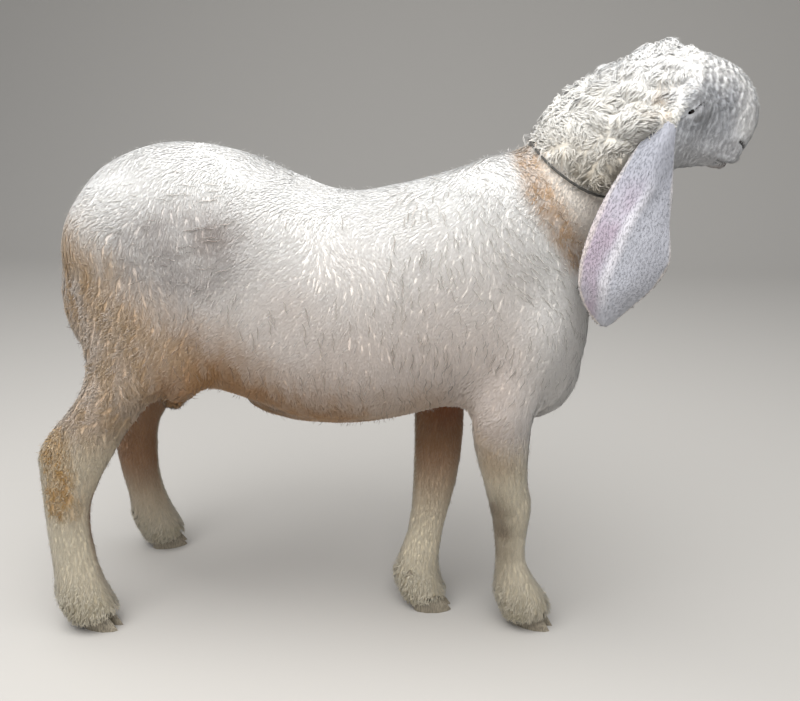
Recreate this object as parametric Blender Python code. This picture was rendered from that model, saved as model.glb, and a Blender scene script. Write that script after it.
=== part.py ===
"""A shorn long-eared ram, its near foreleg a step ahead, life size, as a still museum model.

The animal faces +X, its left side is +Y and the floor is Z = 0.  Every outline is taken at the
tips of the coat.  The flesh is lofted whole from named stations, fused into one skin, and then
parted into nodes by thin cuts.  Ears, tail, eyes, claws and the neck cord are solids of their own.
"""
import math

import bmesh
import bpy
import numpy as np
from mathutils import Matrix, Vector
from mathutils.bvhtree import BVHTree

# ---------------------------------------------------------------- driving dimensions, in metres
GAP = 0.0004            # clearance between neighbouring solids
VOXEL = 0.006           # grid on which the lofts are fused
SKIN_FACES = 4560       # triangles left in the fused body
RING_POINTS = 28        # points round a loft
STEPS = 4               # rings between two stations
SQUARENESS = 2.3        # how square the sections of trunk and face are; 2 is an ellipse

# Trunk, from buttock to breast: x, top of the back, underside, level of greatest width, half width
TRUNK = (
    (-0.418, 0.700, 0.600, 0.640, 0.040),
    (-0.405, 0.750, 0.535, 0.640, 0.074),
    (-0.378, 0.798, 0.492, 0.650, 0.106),
    (-0.325, 0.844, 0.470, 0.655, 0.132),
    (-0.225, 0.873, 0.458, 0.650, 0.140),
    (-0.110, 0.857, 0.427, 0.623, 0.150),
    (-0.030, 0.824, 0.400, 0.603, 0.160),
    (0.055, 0.793, 0.390, 0.593, 0.168),
    (0.150, 0.806, 0.404, 0.599, 0.166),
    (0.250, 0.834, 0.430, 0.610, 0.150),
    (0.330, 0.860, 0.424, 0.615, 0.134),
    (0.400, 0.838, 0.408, 0.600, 0.110),
    (0.446, 0.735, 0.460, 0.592, 0.084),
    (0.473, 0.640, 0.540, 0.590, 0.040),
)
# Shorn neck: crest x and z, throat x and z, half width
NECK = (
    (0.270, 0.800, 0.410, 0.560, 0.090),
    (0.350, 0.862, 0.458, 0.688, 0.098),
    (0.380, 0.880, 0.500, 0.745, 0.086),
    (0.415, 0.905, 0.545, 0.805, 0.080),
    (0.500, 0.950, 0.590, 0.850, 0.070),
)
# Woolly mane over the upper neck and the poll: crest x and z, throat x and z, half width
MANE_BOW = 0.028        # how far its sides hang below the line from crest to throat
MANE = (
    (0.392, 0.886, 0.520, 0.816, 0.070),
    (0.362, 0.884, 0.545, 0.800, 0.100),
    (0.374, 0.910, 0.560, 0.812, 0.108),
    (0.400, 0.940, 0.572, 0.824, 0.110),
    (0.446, 0.973, 0.584, 0.834, 0.108),
    (0.500, 1.003, 0.596, 0.846, 0.102),
    (0.553, 1.026, 0.610, 0.868, 0.091),
    (0.598, 1.016, 0.624, 0.900, 0.074),
    (0.626, 0.990, 0.634, 0.930, 0.045),
)
# Face, from the back of the skull to the nose: x, top, underside, level of greatest width, half width
FACE = (
    (0.520, 0.990, 0.852, 0.925, 0.062),
    (0.560, 1.008, 0.836, 0.922, 0.070),
    (0.600, 1.006, 0.834, 0.920, 0.066),
    (0.632, 0.999, 0.838, 0.915, 0.057),
    (0.656, 0.990, 0.838, 0.908, 0.049),
    (0.674, 0.977, 0.842, 0.903, 0.042),
    (0.688, 0.960, 0.862, 0.904, 0.036),
    (0.698, 0.940, 0.884, 0.908, 0.027),
    (0.703, 0.923, 0.900, 0.911, 0.012),
)
# Legs, from inside the body to the hoof: z, centre x, centre y of the right leg, half depth, half width
FORELEG_RIGHT = (
    (0.640, 0.330, -0.075, 0.070, 0.045),
    (0.560, 0.340, -0.082, 0.075, 0.048),
    (0.490, 0.336, -0.090, 0.064, 0.046),
    (0.445, 0.333, -0.094, 0.055, 0.043),
    (0.400, 0.333, -0.090, 0.051, 0.038),
    (0.350, 0.337, -0.078, 0.044, 0.034),
    (0.300, 0.345, -0.067, 0.040, 0.032),
    (0.255, 0.354, -0.056, 0.039, 0.033),
    (0.205, 0.356, -0.051, 0.032, 0.027),
    (0.150, 0.358, -0.047, 0.029, 0.025),
    (0.105, 0.366, -0.043, 0.037, 0.029),
    (0.066, 0.380, -0.040, 0.047, 0.034),
    (0.030, 0.392, -0.036, 0.046, 0.034),
    (0.008, 0.398, -0.034, 0.040, 0.030),
)
FORELEG_LEFT = (
    (0.640, 0.310, 0.075, 0.070, 0.045),
    (0.560, 0.285, 0.082, 0.075, 0.048),
    (0.490, 0.245, 0.088, 0.064, 0.046),
    (0.445, 0.224, 0.088, 0.053, 0.043),
    (0.400, 0.220, 0.080, 0.049, 0.038),
    (0.350, 0.220, 0.068, 0.048, 0.035),
    (0.300, 0.219, 0.057, 0.046, 0.033),
    (0.250, 0.215, 0.045, 0.043, 0.033),
    (0.200, 0.208, 0.036, 0.038, 0.028),
    (0.150, 0.199, 0.027, 0.036, 0.026),
    (0.100, 0.188, 0.018, 0.040, 0.029),
    (0.062, 0.187, 0.011, 0.044, 0.034),
    (0.030, 0.200, 0.006, 0.044, 0.034),
    (0.008, 0.208, 0.002, 0.038, 0.030),
)
HINDLEG_RIGHT = (
    (0.740, -0.285, -0.070, 0.080, 0.045),
    (0.660, -0.278, -0.088, 0.100, 0.056),
    (0.590, -0.270, -0.096, 0.106, 0.056),
    (0.540, -0.262, -0.102, 0.112, 0.052),
    (0.500, -0.273, -0.106, 0.098, 0.048),
    (0.450, -0.320, -0.110, 0.069, 0.043),
    (0.400, -0.364, -0.114, 0.068, 0.039),
    (0.350, -0.398, -0.118, 0.069, 0.036),
    (0.300, -0.414, -0.120, 0.055, 0.034),
    (0.250, -0.426, -0.121, 0.044, 0.031),
    (0.200, -0.430, -0.121, 0.041, 0.030),
    (0.150, -0.428, -0.121, 0.042, 0.030),
    (0.100, -0.423, -0.121, 0.045, 0.034),
    (0.060, -0.415, -0.122, 0.050, 0.038),
    (0.030, -0.404, -0.122, 0.050, 0.036),
    (0.008, -0.398, -0.122, 0.044, 0.032),
)
HINDLEG_LEFT = (
    (0.740, -0.285, 0.070, 0.080, 0.045),
    (0.660, -0.278, 0.088, 0.100, 0.056),
    (0.590, -0.270, 0.096, 0.106, 0.056),
    (0.540, -0.262, 0.103, 0.112, 0.052),
    (0.500, -0.275, 0.110, 0.098, 0.048),
    (0.450, -0.318, 0.118, 0.072, 0.043),
    (0.400, -0.358, 0.128, 0.068, 0.039),
    (0.350, -0.390, 0.138, 0.067, 0.036),
    (0.300, -0.406, 0.145, 0.052, 0.034),
    (0.250, -0.411, 0.150, 0.046, 0.031),
    (0.200, -0.412, 0.154, 0.043, 0.030),
    (0.150, -0.408, 0.159, 0.041, 0.030),
    (0.100, -0.399, 0.163, 0.043, 0.034),
    (0.060, -0.388, 0.166, 0.046, 0.038),
    (0.030, -0.380, 0.169, 0.046, 0.036),
    (0.008, -0.374, 0.171, 0.042, 0.032),
)
# Rounded masses under the skin: centre (right side, y negative, where paired) and radii
PAIRED_MASSES = (
    ((0.305, -0.080, 0.680), (0.090, 0.056, 0.145)),    # shoulder blade
    ((0.362, -0.074, 0.570), (0.080, 0.058, 0.110)),    # point of the shoulder
    ((-0.290, -0.085, 0.690), (0.110, 0.062, 0.130)),   # rump
    ((-0.370, -0.060, 0.620), (0.046, 0.048, 0.110)),   # buttock
    ((-0.212, -0.104, 0.540), (0.070, 0.040, 0.095)),   # stifle
    ((0.588, -0.046, 0.934), (0.030, 0.020, 0.024)),    # brow
    ((0.580, -0.036, 0.880), (0.046, 0.030, 0.042)),    # cheek
    ((0.663, -0.016, 0.862), (0.021, 0.021, 0.021)),    # upper lip
)
MIDDLE_MASSES = (
    ((0.648, 0.0, 0.849), (0.022, 0.021, 0.016)),       # chin
    ((0.030, 0.0, 0.430), (0.165, 0.060, 0.052)),       # sheath
    ((-0.262, 0.0, 0.442), (0.036, 0.034, 0.050)),      # scrotum
    ((0.400, 0.0, 0.520), (0.070, 0.074, 0.110)),       # brisket
)
# Tail, from its root down: z, centre x, half depth, half width
TAIL = (
    (0.792, -0.368, 0.018, 0.026),
    (0.760, -0.396, 0.018, 0.025),
    (0.715, -0.415, 0.018, 0.024),
    (0.660, -0.424, 0.018, 0.023),
    (0.600, -0.426, 0.017, 0.022),
    (0.560, -0.426, 0.015, 0.018),
    (0.536, -0.425, 0.008, 0.009),
)
# Ear, from its root down: z, centre x, centre y of the right ear, half width, half thickness
EAR = (
    (0.922, 0.556, -0.070, 0.014, 0.0120),
    (0.902, 0.552, -0.088, 0.016, 0.0110),
    (0.880, 0.539, -0.106, 0.024, 0.0080),
    (0.842, 0.527, -0.118, 0.036, 0.0050),
    (0.805, 0.517, -0.124, 0.047, 0.0040),
    (0.760, 0.507, -0.127, 0.056, 0.0036),
    (0.710, 0.505, -0.127, 0.066, 0.0034),
    (0.668, 0.494, -0.124, 0.056, 0.0032),
    (0.636, 0.486, -0.119, 0.035, 0.0030),
    (0.612, 0.483, -0.114, 0.016, 0.0026),
    (0.604, 0.484, -0.112, 0.006, 0.0020),
)
EAR_CAMBER = 0.020      # how far the middle of the ear stands out from its edges
EAR_FULL_WIDTH = 0.056  # half width from which the camber and the ridge are whole
EAR_RIDGE = 0.005       # height of the long ridge on its outer face
EAR_RIDGE_AT = 0.15     # its place across the ear, from -1 at the rear edge to 1
EAR_RIDGE_WIDTH = 0.22
EAR_POINTS = 9          # points across one face

EYE_RADIUS = 0.0130
EYE_DEPTH = 0.0100      # from the skin to the centre of the eyeball
EYE_AT = (0.594, 0.921)         # x and z of the eye's centre

CLAW_LENGTH = 0.072
CLAW_WIDTH = 0.027
CLAW_SPACE = 0.003      # between the two claws of a foot
CLAW_TAPER = 0.30       # how much shorter a claw is at the hairline than at the sole
CLAW_LEAN = 0.010       # how far back its top stands
CLAW_INNER = 0.55       # how flat its face towards the other claw is
CLAW_TOE = 0.35         # how much it narrows to the toe
CLAW_POINTS = 10
CORONET_TOE = 0.036     # height of the hairline above the toe wall
CORONET_HEEL = 0.017    # and above the heel
DEWCLAW_LENGTH = 0.015
DEWCLAW_RADIUS = 0.0065
DEWCLAW_APART = 0.011   # from the middle of the foot to each
DEWCLAW_HEIGHT = 0.078
DEWCLAW_LEAN = -125.0   # degrees from upright, tip down and back
# Feet: name, centre x, centre y, heading in degrees (turned left is positive)
FEET = (
    ("fore_right", 0.405, -0.033, -20.0),
    ("fore_left", 0.216, 0.000, 6.0),
    ("hind_right", -0.388, -0.121, -8.0),
    ("hind_left", -0.368, 0.170, 20.0),
)
CORD_RADIUS = 0.0022
CORD_POINTS = 44
CORD_SIDES = 5
CORD_SLACK = 0.0018      # clearance under the cord at its points
# Neck cord: a loop round the shorn neck below the mane, crest and throat as x and z
CORD_CREST = (0.368, 0.872)
CORD_THROAT = (0.556, 0.812)
CORD_SAG = 0.042        # how far its sides hang below the straight line

# Cuts: the ends of each parting plane in side view, as x and z
NECK_CUT = ((0.342, 0.892), (0.470, 0.660))
HEAD_CUT = ((0.482, 1.060), (0.578, 0.790))
FORELEG_CUT = 0.402     # level of the cut through each forearm
THIGH_CUT = ((-0.165, 0.466), (-0.470, 0.668))
THIGH_INSIDE = 0.034    # half the width left to the trunk between the thighs
BEHIND_NECK = 0.30      # x that parts the middles of trunk and neck, and of the forelegs
BEHIND_HEAD = 0.53      # x that parts the middles of neck and head
CLEAR = 0.3             # where rays start, well outside the body

MATERIALS = {
    "fleece": ((0.83, 0.78, 0.68), 0.95),
    "face_hair": ((0.80, 0.80, 0.80), 0.85),
    "ear_skin": ((0.74, 0.68, 0.72), 0.75),
    "horn": ((0.42, 0.35, 0.26), 0.55),
    "eye": ((0.02, 0.015, 0.012), 0.08),
    "cord": ((0.015, 0.015, 0.018), 0.70),
}


# ---------------------------------------------------------------- general tools
def clear_scene():
    for obj in list(bpy.data.objects):
        bpy.data.objects.remove(obj, do_unlink=True)


def material(name):
    found = bpy.data.materials.get(name)
    if found:
        return found
    colour, roughness = MATERIALS[name]
    made = bpy.data.materials.new(name)
    made.use_nodes = True
    shader = made.node_tree.nodes["Principled BSDF"]
    shader.inputs["Base Color"].default_value = (*colour, 1.0)
    shader.inputs["Roughness"].default_value = roughness
    shader.inputs["Metallic"].default_value = 0.0
    return made


def add_object(name, bm, material_name, smooth=True):
    """Turn a closed bmesh into a named object with its faces pointing out."""
    bmesh.ops.recalc_face_normals(bm, faces=bm.faces)
    mesh = bpy.data.meshes.new(name)
    bm.to_mesh(mesh)
    bm.free()
    if smooth:
        mesh.shade_smooth()
        mesh.set_sharp_from_angle(angle=math.radians(40.0))
    mesh.materials.append(material(material_name))
    obj = bpy.data.objects.new(name, mesh)
    bpy.context.scene.collection.objects.link(obj)
    return obj


def settle(obj):
    """Replace an object's mesh with what its modifiers make of it."""
    graph = bpy.context.evaluated_depsgraph_get()
    graph.update()
    made = bpy.data.meshes.new_from_object(obj.evaluated_get(graph))
    obj.modifiers.clear()
    obj.data = made


def boolean(obj, cutter, operation):
    cut = obj.modifiers.new(operation.lower(), "BOOLEAN")
    cut.operation = operation
    cut.solver = "EXACT"
    cut.use_self = True
    cut.object = cutter
    settle(obj)


def swollen_copy(obj, distance):
    """A copy whose surface stands out by a small distance, to cut neighbours with."""
    mesh = obj.data.copy()
    moved = [v.co + v.normal * distance for v in mesh.vertices]
    for vertex, place in zip(mesh.vertices, moved):
        vertex.co = place
    copy = bpy.data.objects.new(obj.name + "_swollen", mesh)
    copy.hide_render = True
    copy.display_type = "WIRE"
    bpy.context.scene.collection.objects.link(copy)
    return copy


def remove(*objects):
    for obj in objects:
        bpy.data.objects.remove(obj, do_unlink=True)


def smooth_rows(rows, steps):
    """Catmull-Rom rows between the stations, so a loft runs on one smooth curve."""
    rows = np.array(rows, dtype=float)
    padded = np.vstack([2 * rows[0] - rows[1], rows, 2 * rows[-1] - rows[-2]])
    out = []
    for i in range(len(rows) - 1):
        a, b, c, d = padded[i:i + 4]
        for k in range(steps):
            t = k / steps
            out.append(0.5 * (2 * b + (c - a) * t + (2 * a - 5 * b + 4 * c - d) * t ** 2
                              + (3 * b - a - 3 * c + d) * t ** 3))
    out.append(rows[-1])
    return np.array(out)


def add_rings(bm, rings):
    """Bridge closed rings of equal length and close both ends with a fan."""
    loops = [[bm.verts.new(point) for point in ring] for ring in rings]
    for lower, upper in zip(loops, loops[1:]):
        count = len(lower)
        for i in range(count):
            j = (i + 1) % count
            bm.faces.new((lower[i], lower[j], upper[j], upper[i]))
    for ring, loop in ((rings[0], loops[0]), (rings[-1], loops[-1])):
        middle = bm.verts.new(np.mean(np.array(ring), axis=0))
        count = len(loop)
        for i in range(count):
            bm.faces.new((loop[i], loop[(i + 1) % count], middle))


def ring_angles(count=RING_POINTS):
    return [2 * math.pi * i / count for i in range(count)]


def rounded(value, power):
    """A cosine or sine pushed outwards, for a section squarer than an ellipse."""
    return math.copysign(abs(value) ** (2.0 / power), value)


# ---------------------------------------------------------------- sections of the body
def upright_ring(row):
    """A vertical section across the body at one x."""
    x, top, bottom, widest, half_width = row
    ring = []
    for angle in ring_angles():
        up = rounded(math.sin(angle), SQUARENESS)
        reach = top - widest if up > 0 else widest - bottom
        ring.append((x, half_width * rounded(math.cos(angle), SQUARENESS), widest + reach * up))
    return ring


def slanted_ring(row, bow=0.0):
    """A section across the neck, between its crest and its throat, its sides hanging by a bow."""
    crest_x, crest_z, throat_x, throat_z, half_width = row
    middle = Vector(((crest_x + throat_x) / 2, 0, (crest_z + throat_z) / 2))
    up = Vector(((crest_x - throat_x) / 2, 0, (crest_z - throat_z) / 2))
    return [middle + up * math.sin(a) + Vector((0, half_width * math.cos(a), -bow * math.cos(a) ** 2))
            for a in ring_angles()]


def level_ring(row):
    """A level section through a leg."""
    z, x, y, half_depth, half_width = row
    return [(x + half_depth * math.cos(a), y + half_width * math.sin(a), z) for a in ring_angles()]


def add_mass(bm, centre, radii, mirrored=False):
    y = -centre[1] if mirrored else centre[1]
    place = Matrix.Translation((centre[0], y, centre[2])) @ Matrix.Diagonal((*radii, 1.0))
    bmesh.ops.create_uvsphere(bm, u_segments=24, v_segments=16, radius=1.0, matrix=place)


def make_body():
    """All the flesh but ears and tail, fused into one skin."""
    bm = bmesh.new()
    add_rings(bm, [upright_ring(row) for row in smooth_rows(TRUNK, STEPS)])
    add_rings(bm, [upright_ring(row) for row in smooth_rows(FACE, STEPS)])
    for stations, bow in ((NECK, 0.0), (MANE, MANE_BOW)):
        add_rings(bm, [slanted_ring(row, bow) for row in smooth_rows(stations, STEPS)])
    for stations in (FORELEG_RIGHT, FORELEG_LEFT, HINDLEG_RIGHT, HINDLEG_LEFT):
        add_rings(bm, [level_ring(row) for row in smooth_rows(stations, STEPS)])
    for centre, radii in PAIRED_MASSES:
        add_mass(bm, centre, radii)
        add_mass(bm, centre, radii, mirrored=True)
    for centre, radii in MIDDLE_MASSES:
        add_mass(bm, centre, radii)
    body = add_object("body", bm, "fleece")

    fuse = body.modifiers.new("fuse", "REMESH")
    fuse.mode = "VOXEL"
    fuse.voxel_size = VOXEL
    fuse.adaptivity = 0.0
    soften = body.modifiers.new("soften", "SMOOTH")
    soften.factor = 0.5
    soften.iterations = 7
    settle(body)

    thin = body.modifiers.new("thin", "DECIMATE")
    thin.ratio = SKIN_FACES / (2 * len(body.data.polygons))
    thin.use_collapse_triangulate = True
    settle(body)
    return body


# ---------------------------------------------------------------- pieces of their own
def make_ear(side):
    """One long hanging ear: a thin cambered leaf with a ridge down its outer face."""
    mirror = -side
    rings = []
    for z, x, y, half_width, half_thick in smooth_rows(EAR, 2):
        flat = min(1.0, half_width / EAR_FULL_WIDTH)
        outer = []
        inner = []
        for i in range(EAR_POINTS):
            s = -math.cos(math.pi * i / (EAR_POINTS - 1))
            camber = EAR_CAMBER * flat * (1 - s * s)
            ridge = EAR_RIDGE * flat * math.exp(-((s - EAR_RIDGE_AT) / EAR_RIDGE_WIDTH) ** 2)
            thick = half_thick * math.sqrt(max(0.0, 1 - s * s) * 0.8 + 0.2)
            outer.append((x + half_width * s, mirror * (y - camber - ridge - thick), z))
            inner.append((x + half_width * s, mirror * (y - camber + thick), z))
        rings.append(outer + inner[::-1])
    bm = bmesh.new()
    add_rings(bm, rings)
    name = "ear_left" if side > 0 else "ear_right"
    return add_object(name, bm, "ear_skin")


def make_tail():
    rings = [level_ring((z, x, 0.0, depth, width)) for z, x, depth, width in smooth_rows(TAIL, 2)]
    bm = bmesh.new()
    add_rings(bm, [ring[::2] for ring in rings])
    return add_object("tail", bm, "fleece")


def eye_place(body, side):
    """Centre of an eyeball, set a fixed depth under the skin."""
    tree = BVHTree.FromObject(body, bpy.context.evaluated_depsgraph_get())
    x, z = EYE_AT
    hit = tree.ray_cast(Vector((x, side * CLEAR, z)), Vector((0, -side, 0)))[0]
    return hit - Vector((0, side * EYE_DEPTH, 0))


def make_ball(name, centre, radius, material_name):
    bm = bmesh.new()
    bmesh.ops.create_uvsphere(bm, u_segments=12, v_segments=8, radius=radius,
                              matrix=Matrix.Translation(centre) @ Matrix.Rotation(math.pi / 2, 4, "X"))
    return add_object(name, bm, material_name)


def foot_frame(x, y, heading):
    return Matrix.Translation((x, y, 0.0)) @ Matrix.Rotation(math.radians(heading), 4, "Z")


def coronet_height(along):
    """Height of the hairline at a place along the foot, heel -0.5 to toe 0.5."""
    return CORONET_HEEL + (CORONET_TOE - CORONET_HEEL) * (along + 0.5)


def claw_ring(level, outward):
    """One section of a claw: level 0 is the sole, 1 the hairline; outward is +1 or -1."""
    points = []
    shrink = 1.0 - CLAW_TAPER * level
    narrow = 1.0 - 0.4 * CLAW_TAPER * level
    offset = outward * (CLAW_SPACE / 2 + 0.5 * CLAW_WIDTH * CLAW_INNER)
    for turn in ring_angles(CLAW_POINTS):
        bulge = 1.0 if math.sin(turn) * outward > 0 else CLAW_INNER
        toe = 1.0 - CLAW_TOE * max(0.0, math.cos(turn)) ** 2
        across = 0.5 * CLAW_WIDTH * math.sin(turn) * bulge * toe * narrow
        x = 0.5 * CLAW_LENGTH * math.cos(turn) * shrink - CLAW_LEAN * level
        points.append((x, offset + across, level * (coronet_height(x / CLAW_LENGTH) - GAP)))
    return points


def make_claws(name, frame):
    for outward in (1, -1):
        bm = bmesh.new()
        add_rings(bm, [claw_ring(level, outward) for level in (0.0, 0.35, 1.0)])
        for vertex in bm.verts:
            vertex.co = frame @ vertex.co
        side = outward if name.endswith("left") else -outward
        which = "outer" if side > 0 else "inner"
        add_object("claw_" + name + "_" + which, bm, "horn")


def coronet_cutter(frame):
    """A block under the hairline, which trims the leg to the top of its claws."""
    half = 0.11
    deep = 0.06
    bm = bmesh.new()
    top = [(x, y, coronet_height(x / CLAW_LENGTH)) for x, y in
           ((-half, -half), (half, -half), (half, half), (-half, half))]
    bottom = [(x, y, -deep) for x, y, _ in top]
    add_rings(bm, [top, bottom])
    for vertex in bm.verts:
        vertex.co = frame @ vertex.co
    cutter = add_object("coronet", bm, "horn", smooth=False)
    cutter.hide_render = True
    cutter.display_type = "WIRE"
    return cutter


def make_block(name, outline, near, far):
    """A prism of a side-view outline, from one y to another, used as a cutter."""
    bm = bmesh.new()
    add_rings(bm, [[(x, near, z) for x, z in outline], [(x, far, z) for x, z in outline]])
    block = add_object(name, bm, "fleece", smooth=False)
    block.hide_render = True
    block.display_type = "WIRE"
    return block


def slab(name, ends, half_width=0.2):
    """A thin parting plane between two places in side view."""
    start = Vector((ends[0][0], ends[0][1]))
    end = Vector((ends[1][0], ends[1][1]))
    run = (end - start).normalized()
    across = Vector((-run.y, run.x)) * GAP / 2
    outline = [tuple(start + across), tuple(end + across), tuple(end - across), tuple(start - across)]
    return make_block(name, outline, -half_width, half_width)


def part_body(body):
    """Part the fused skin into head, neck, trunk and four legs."""
    for _, x, y, heading in FEET:
        cutter = coronet_cutter(foot_frame(x, y, heading))
        boolean(body, cutter, "DIFFERENCE")
        remove(cutter)
    for side in (-1, 1):
        leg = body.copy()
        leg.data = body.data.copy()
        leg.name = "hindleg_left" if side > 0 else "hindleg_right"
        bpy.context.scene.collection.objects.link(leg)
        (front_x, front_z), (rear_x, rear_z) = THIGH_CUT
        slope = (rear_z - front_z) / (rear_x - front_x)
        for obj, grow in ((leg, 0.0), (body, GAP)):
            outline = [(front_x + grow, -0.05), (front_x + grow, front_z + grow * (1 + slope)),
                       (rear_x, rear_z + grow), (rear_x - 0.1, rear_z + grow), (rear_x - 0.1, -0.05)]
            inside = side * (THIGH_INSIDE - grow)
            cell = make_block("cell", outline, inside, side * 0.4)
            boolean(obj, cell, "DIFFERENCE" if obj is body else "INTERSECT")
            remove(cell)
    planes = (slab("neck_cut", NECK_CUT), slab("head_cut", HEAD_CUT),
              slab("foreleg_cut", ((0.10, FORELEG_CUT), (0.46, FORELEG_CUT))))
    for plane in planes:
        boolean(body, plane, "DIFFERENCE")
    remove(*planes)
    name_loose_pieces(body)


def name_loose_pieces(body):
    """Split what the cuts have parted, and name each piece by where its middle lies."""
    bm = bmesh.new()
    bm.from_mesh(body.data)
    left = set(bm.verts)
    pieces = []
    while left:
        seed = left.pop()
        piece = {seed}
        front = [seed]
        while front:
            vertex = front.pop()
            for edge in vertex.link_edges:
                other = edge.other_vert(vertex)
                if other in left:
                    left.discard(other)
                    piece.add(other)
                    front.append(other)
        pieces.append(piece)
    for piece in pieces:
        middle = sum((v.co for v in piece), Vector()) / len(piece)
        if middle.z < FORELEG_CUT and middle.x > 0:
            name = "foreleg_left" if middle.x < BEHIND_NECK else "foreleg_right"
        elif middle.x < BEHIND_NECK:
            name = "trunk"
        elif middle.x < BEHIND_HEAD:
            name = "neck"
        else:
            name = "head"
        part = bm.copy()
        keep = {v.index for v in piece}
        part.verts.ensure_lookup_table()
        bmesh.ops.delete(part, geom=[v for v in part.verts if v.index not in keep], context="VERTS")
        add_object(name, part, "face_hair" if name == "head" else "fleece")
    bm.free()
    remove(body)


def make_dewclaws(name, frame, leg):
    """Two small horn cones behind the fetlock, each cut back to the hair."""
    tree = BVHTree.FromObject(leg, bpy.context.evaluated_depsgraph_get())
    forward = (frame.to_3x3() @ Vector((1, 0, 0))).normalized()
    cutter = swollen_copy(leg, GAP)
    for label, across in (("a", -DEWCLAW_APART), ("b", DEWCLAW_APART)):
        behind = frame @ Vector((-CLEAR, across, DEWCLAW_HEIGHT))
        root = tree.ray_cast(behind, forward)[0]
        turn = forward.to_track_quat("X", "Z").to_matrix().to_4x4()
        lean = Matrix.Rotation(math.radians(DEWCLAW_LEAN), 4, "Y")
        bm = bmesh.new()
        bmesh.ops.create_cone(bm, cap_ends=True, segments=8, radius1=DEWCLAW_RADIUS, radius2=0.002,
                              depth=DEWCLAW_LENGTH, matrix=Matrix.Translation(root) @ turn @ lean)
        cone = add_object("dewclaw_" + name + "_" + label, bm, "horn")
        boolean(cone, cutter, "DIFFERENCE")
    remove(cutter)


def make_cord(neck):
    """The thin neck cord, laid on the shorn neck just below the mane."""
    tree = BVHTree.FromObject(neck, bpy.context.evaluated_depsgraph_get())
    crest = Vector((CORD_CREST[0], 0, CORD_CREST[1]))
    throat = Vector((CORD_THROAT[0], 0, CORD_THROAT[1]))
    middle = (crest + throat) / 2
    up = (crest - throat).normalized()
    reach = []
    for angle in ring_angles(CORD_POINTS):
        ray = up * math.sin(angle) + Vector((0, math.cos(angle), 0))
        start = middle - Vector((0, 0, CORD_SAG * math.cos(angle) ** 2))
        hit = tree.ray_cast(start + ray * CLEAR, -ray)[0]
        reach.append((start, ray, (hit - start).length))
    points = []
    for i, (start, ray, _) in enumerate(reach):
        near = [reach[(i + k) % CORD_POINTS][2] for k in (-1, 0, 1)]
        points.append(start + ray * (max(near) + CORD_RADIUS + CORD_SLACK))
    rings = []
    for i, point in enumerate(points):
        run = (points[(i + 1) % CORD_POINTS] - points[i - 1]).normalized()
        out = (point - middle).normalized()
        side = run.cross(out).normalized()
        out = side.cross(run)
        rings.append([point + (out * math.cos(a) + side * math.sin(a)) * CORD_RADIUS
                      for a in ring_angles(CORD_SIDES)])
    bm = bmesh.new()
    loops = [[bm.verts.new(p) for p in ring] for ring in rings]
    for i, lower in enumerate(loops):
        upper = loops[(i + 1) % CORD_POINTS]
        for k in range(CORD_SIDES):
            j = (k + 1) % CORD_SIDES
            bm.faces.new((lower[k], lower[j], upper[j], upper[k]))
    return add_object("neck_cord", bm, "cord")


def set_on_origin():
    """Put the middle of the whole model's box over the origin, its soles at Z = 0."""
    parts = [obj for obj in bpy.data.objects if obj.type == "MESH"]
    corners = np.array([v.co[:] for obj in parts for v in obj.data.vertices])
    low = corners.min(axis=0)
    high = corners.max(axis=0)
    for obj in parts:
        obj.location = (-(low[0] + high[0]) / 2, -(low[1] + high[1]) / 2, -low[2])


def main():
    clear_scene()
    body = make_body()
    tail = make_tail()
    ears = [make_ear(side) for side in (-1, 1)]
    swollen = swollen_copy(body, GAP)
    for piece in (tail, *ears):
        boolean(piece, swollen, "DIFFERENCE")
    remove(swollen)
    for side, name in ((-1, "eye_right"), (1, "eye_left")):
        centre = eye_place(body, side)
        socket = make_ball("socket", centre, EYE_RADIUS + GAP, "eye")
        boolean(body, socket, "DIFFERENCE")
        remove(socket)
        make_ball(name, centre, EYE_RADIUS, "eye")
    part_body(body)
    for name, x, y, heading in FEET:
        frame = foot_frame(x, y, heading)
        make_claws(name, frame)
        limb, side = name.split("_")
        make_dewclaws(name, frame, bpy.data.objects[limb + "leg_" + side])
    make_cord(bpy.data.objects["neck"])
    set_on_origin()


main()
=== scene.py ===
"""A shorn long-eared ram with a roman nose. One skin, with its eyelids, nostrils and creases, lies inside
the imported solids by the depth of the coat. Fleece, curls and short hair grow on it as joined meshes of
tapering locks. Sizes are in metres, in the ram's own axes: x forward, y to its left, z up."""

import itertools
import math
from types import SimpleNamespace

import bmesh
import bpy
import numpy as np
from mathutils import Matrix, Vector
from mathutils.bvhtree import BVHTree


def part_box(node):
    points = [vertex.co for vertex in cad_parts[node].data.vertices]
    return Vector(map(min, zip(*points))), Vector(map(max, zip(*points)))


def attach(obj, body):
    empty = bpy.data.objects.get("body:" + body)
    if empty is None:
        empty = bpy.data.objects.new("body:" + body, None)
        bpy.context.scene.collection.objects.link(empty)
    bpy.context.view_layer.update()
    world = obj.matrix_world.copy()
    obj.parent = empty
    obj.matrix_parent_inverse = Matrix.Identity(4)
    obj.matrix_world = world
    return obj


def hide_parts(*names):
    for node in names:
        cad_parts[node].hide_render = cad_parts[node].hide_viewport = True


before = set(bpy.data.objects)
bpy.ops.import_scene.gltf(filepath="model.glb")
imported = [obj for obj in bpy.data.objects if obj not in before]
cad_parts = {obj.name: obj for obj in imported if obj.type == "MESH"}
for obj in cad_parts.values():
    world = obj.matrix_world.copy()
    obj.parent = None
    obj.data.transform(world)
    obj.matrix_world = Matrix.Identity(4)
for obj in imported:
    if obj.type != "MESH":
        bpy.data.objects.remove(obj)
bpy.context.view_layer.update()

FLESH = ["head", "neck", "trunk", "tail", "foreleg_right", "foreleg_left", "hindleg_right", "hindleg_left"]
EARS = ["ear_right", "ear_left"]
SIDES = {"right": -1, "left": 1}

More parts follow.
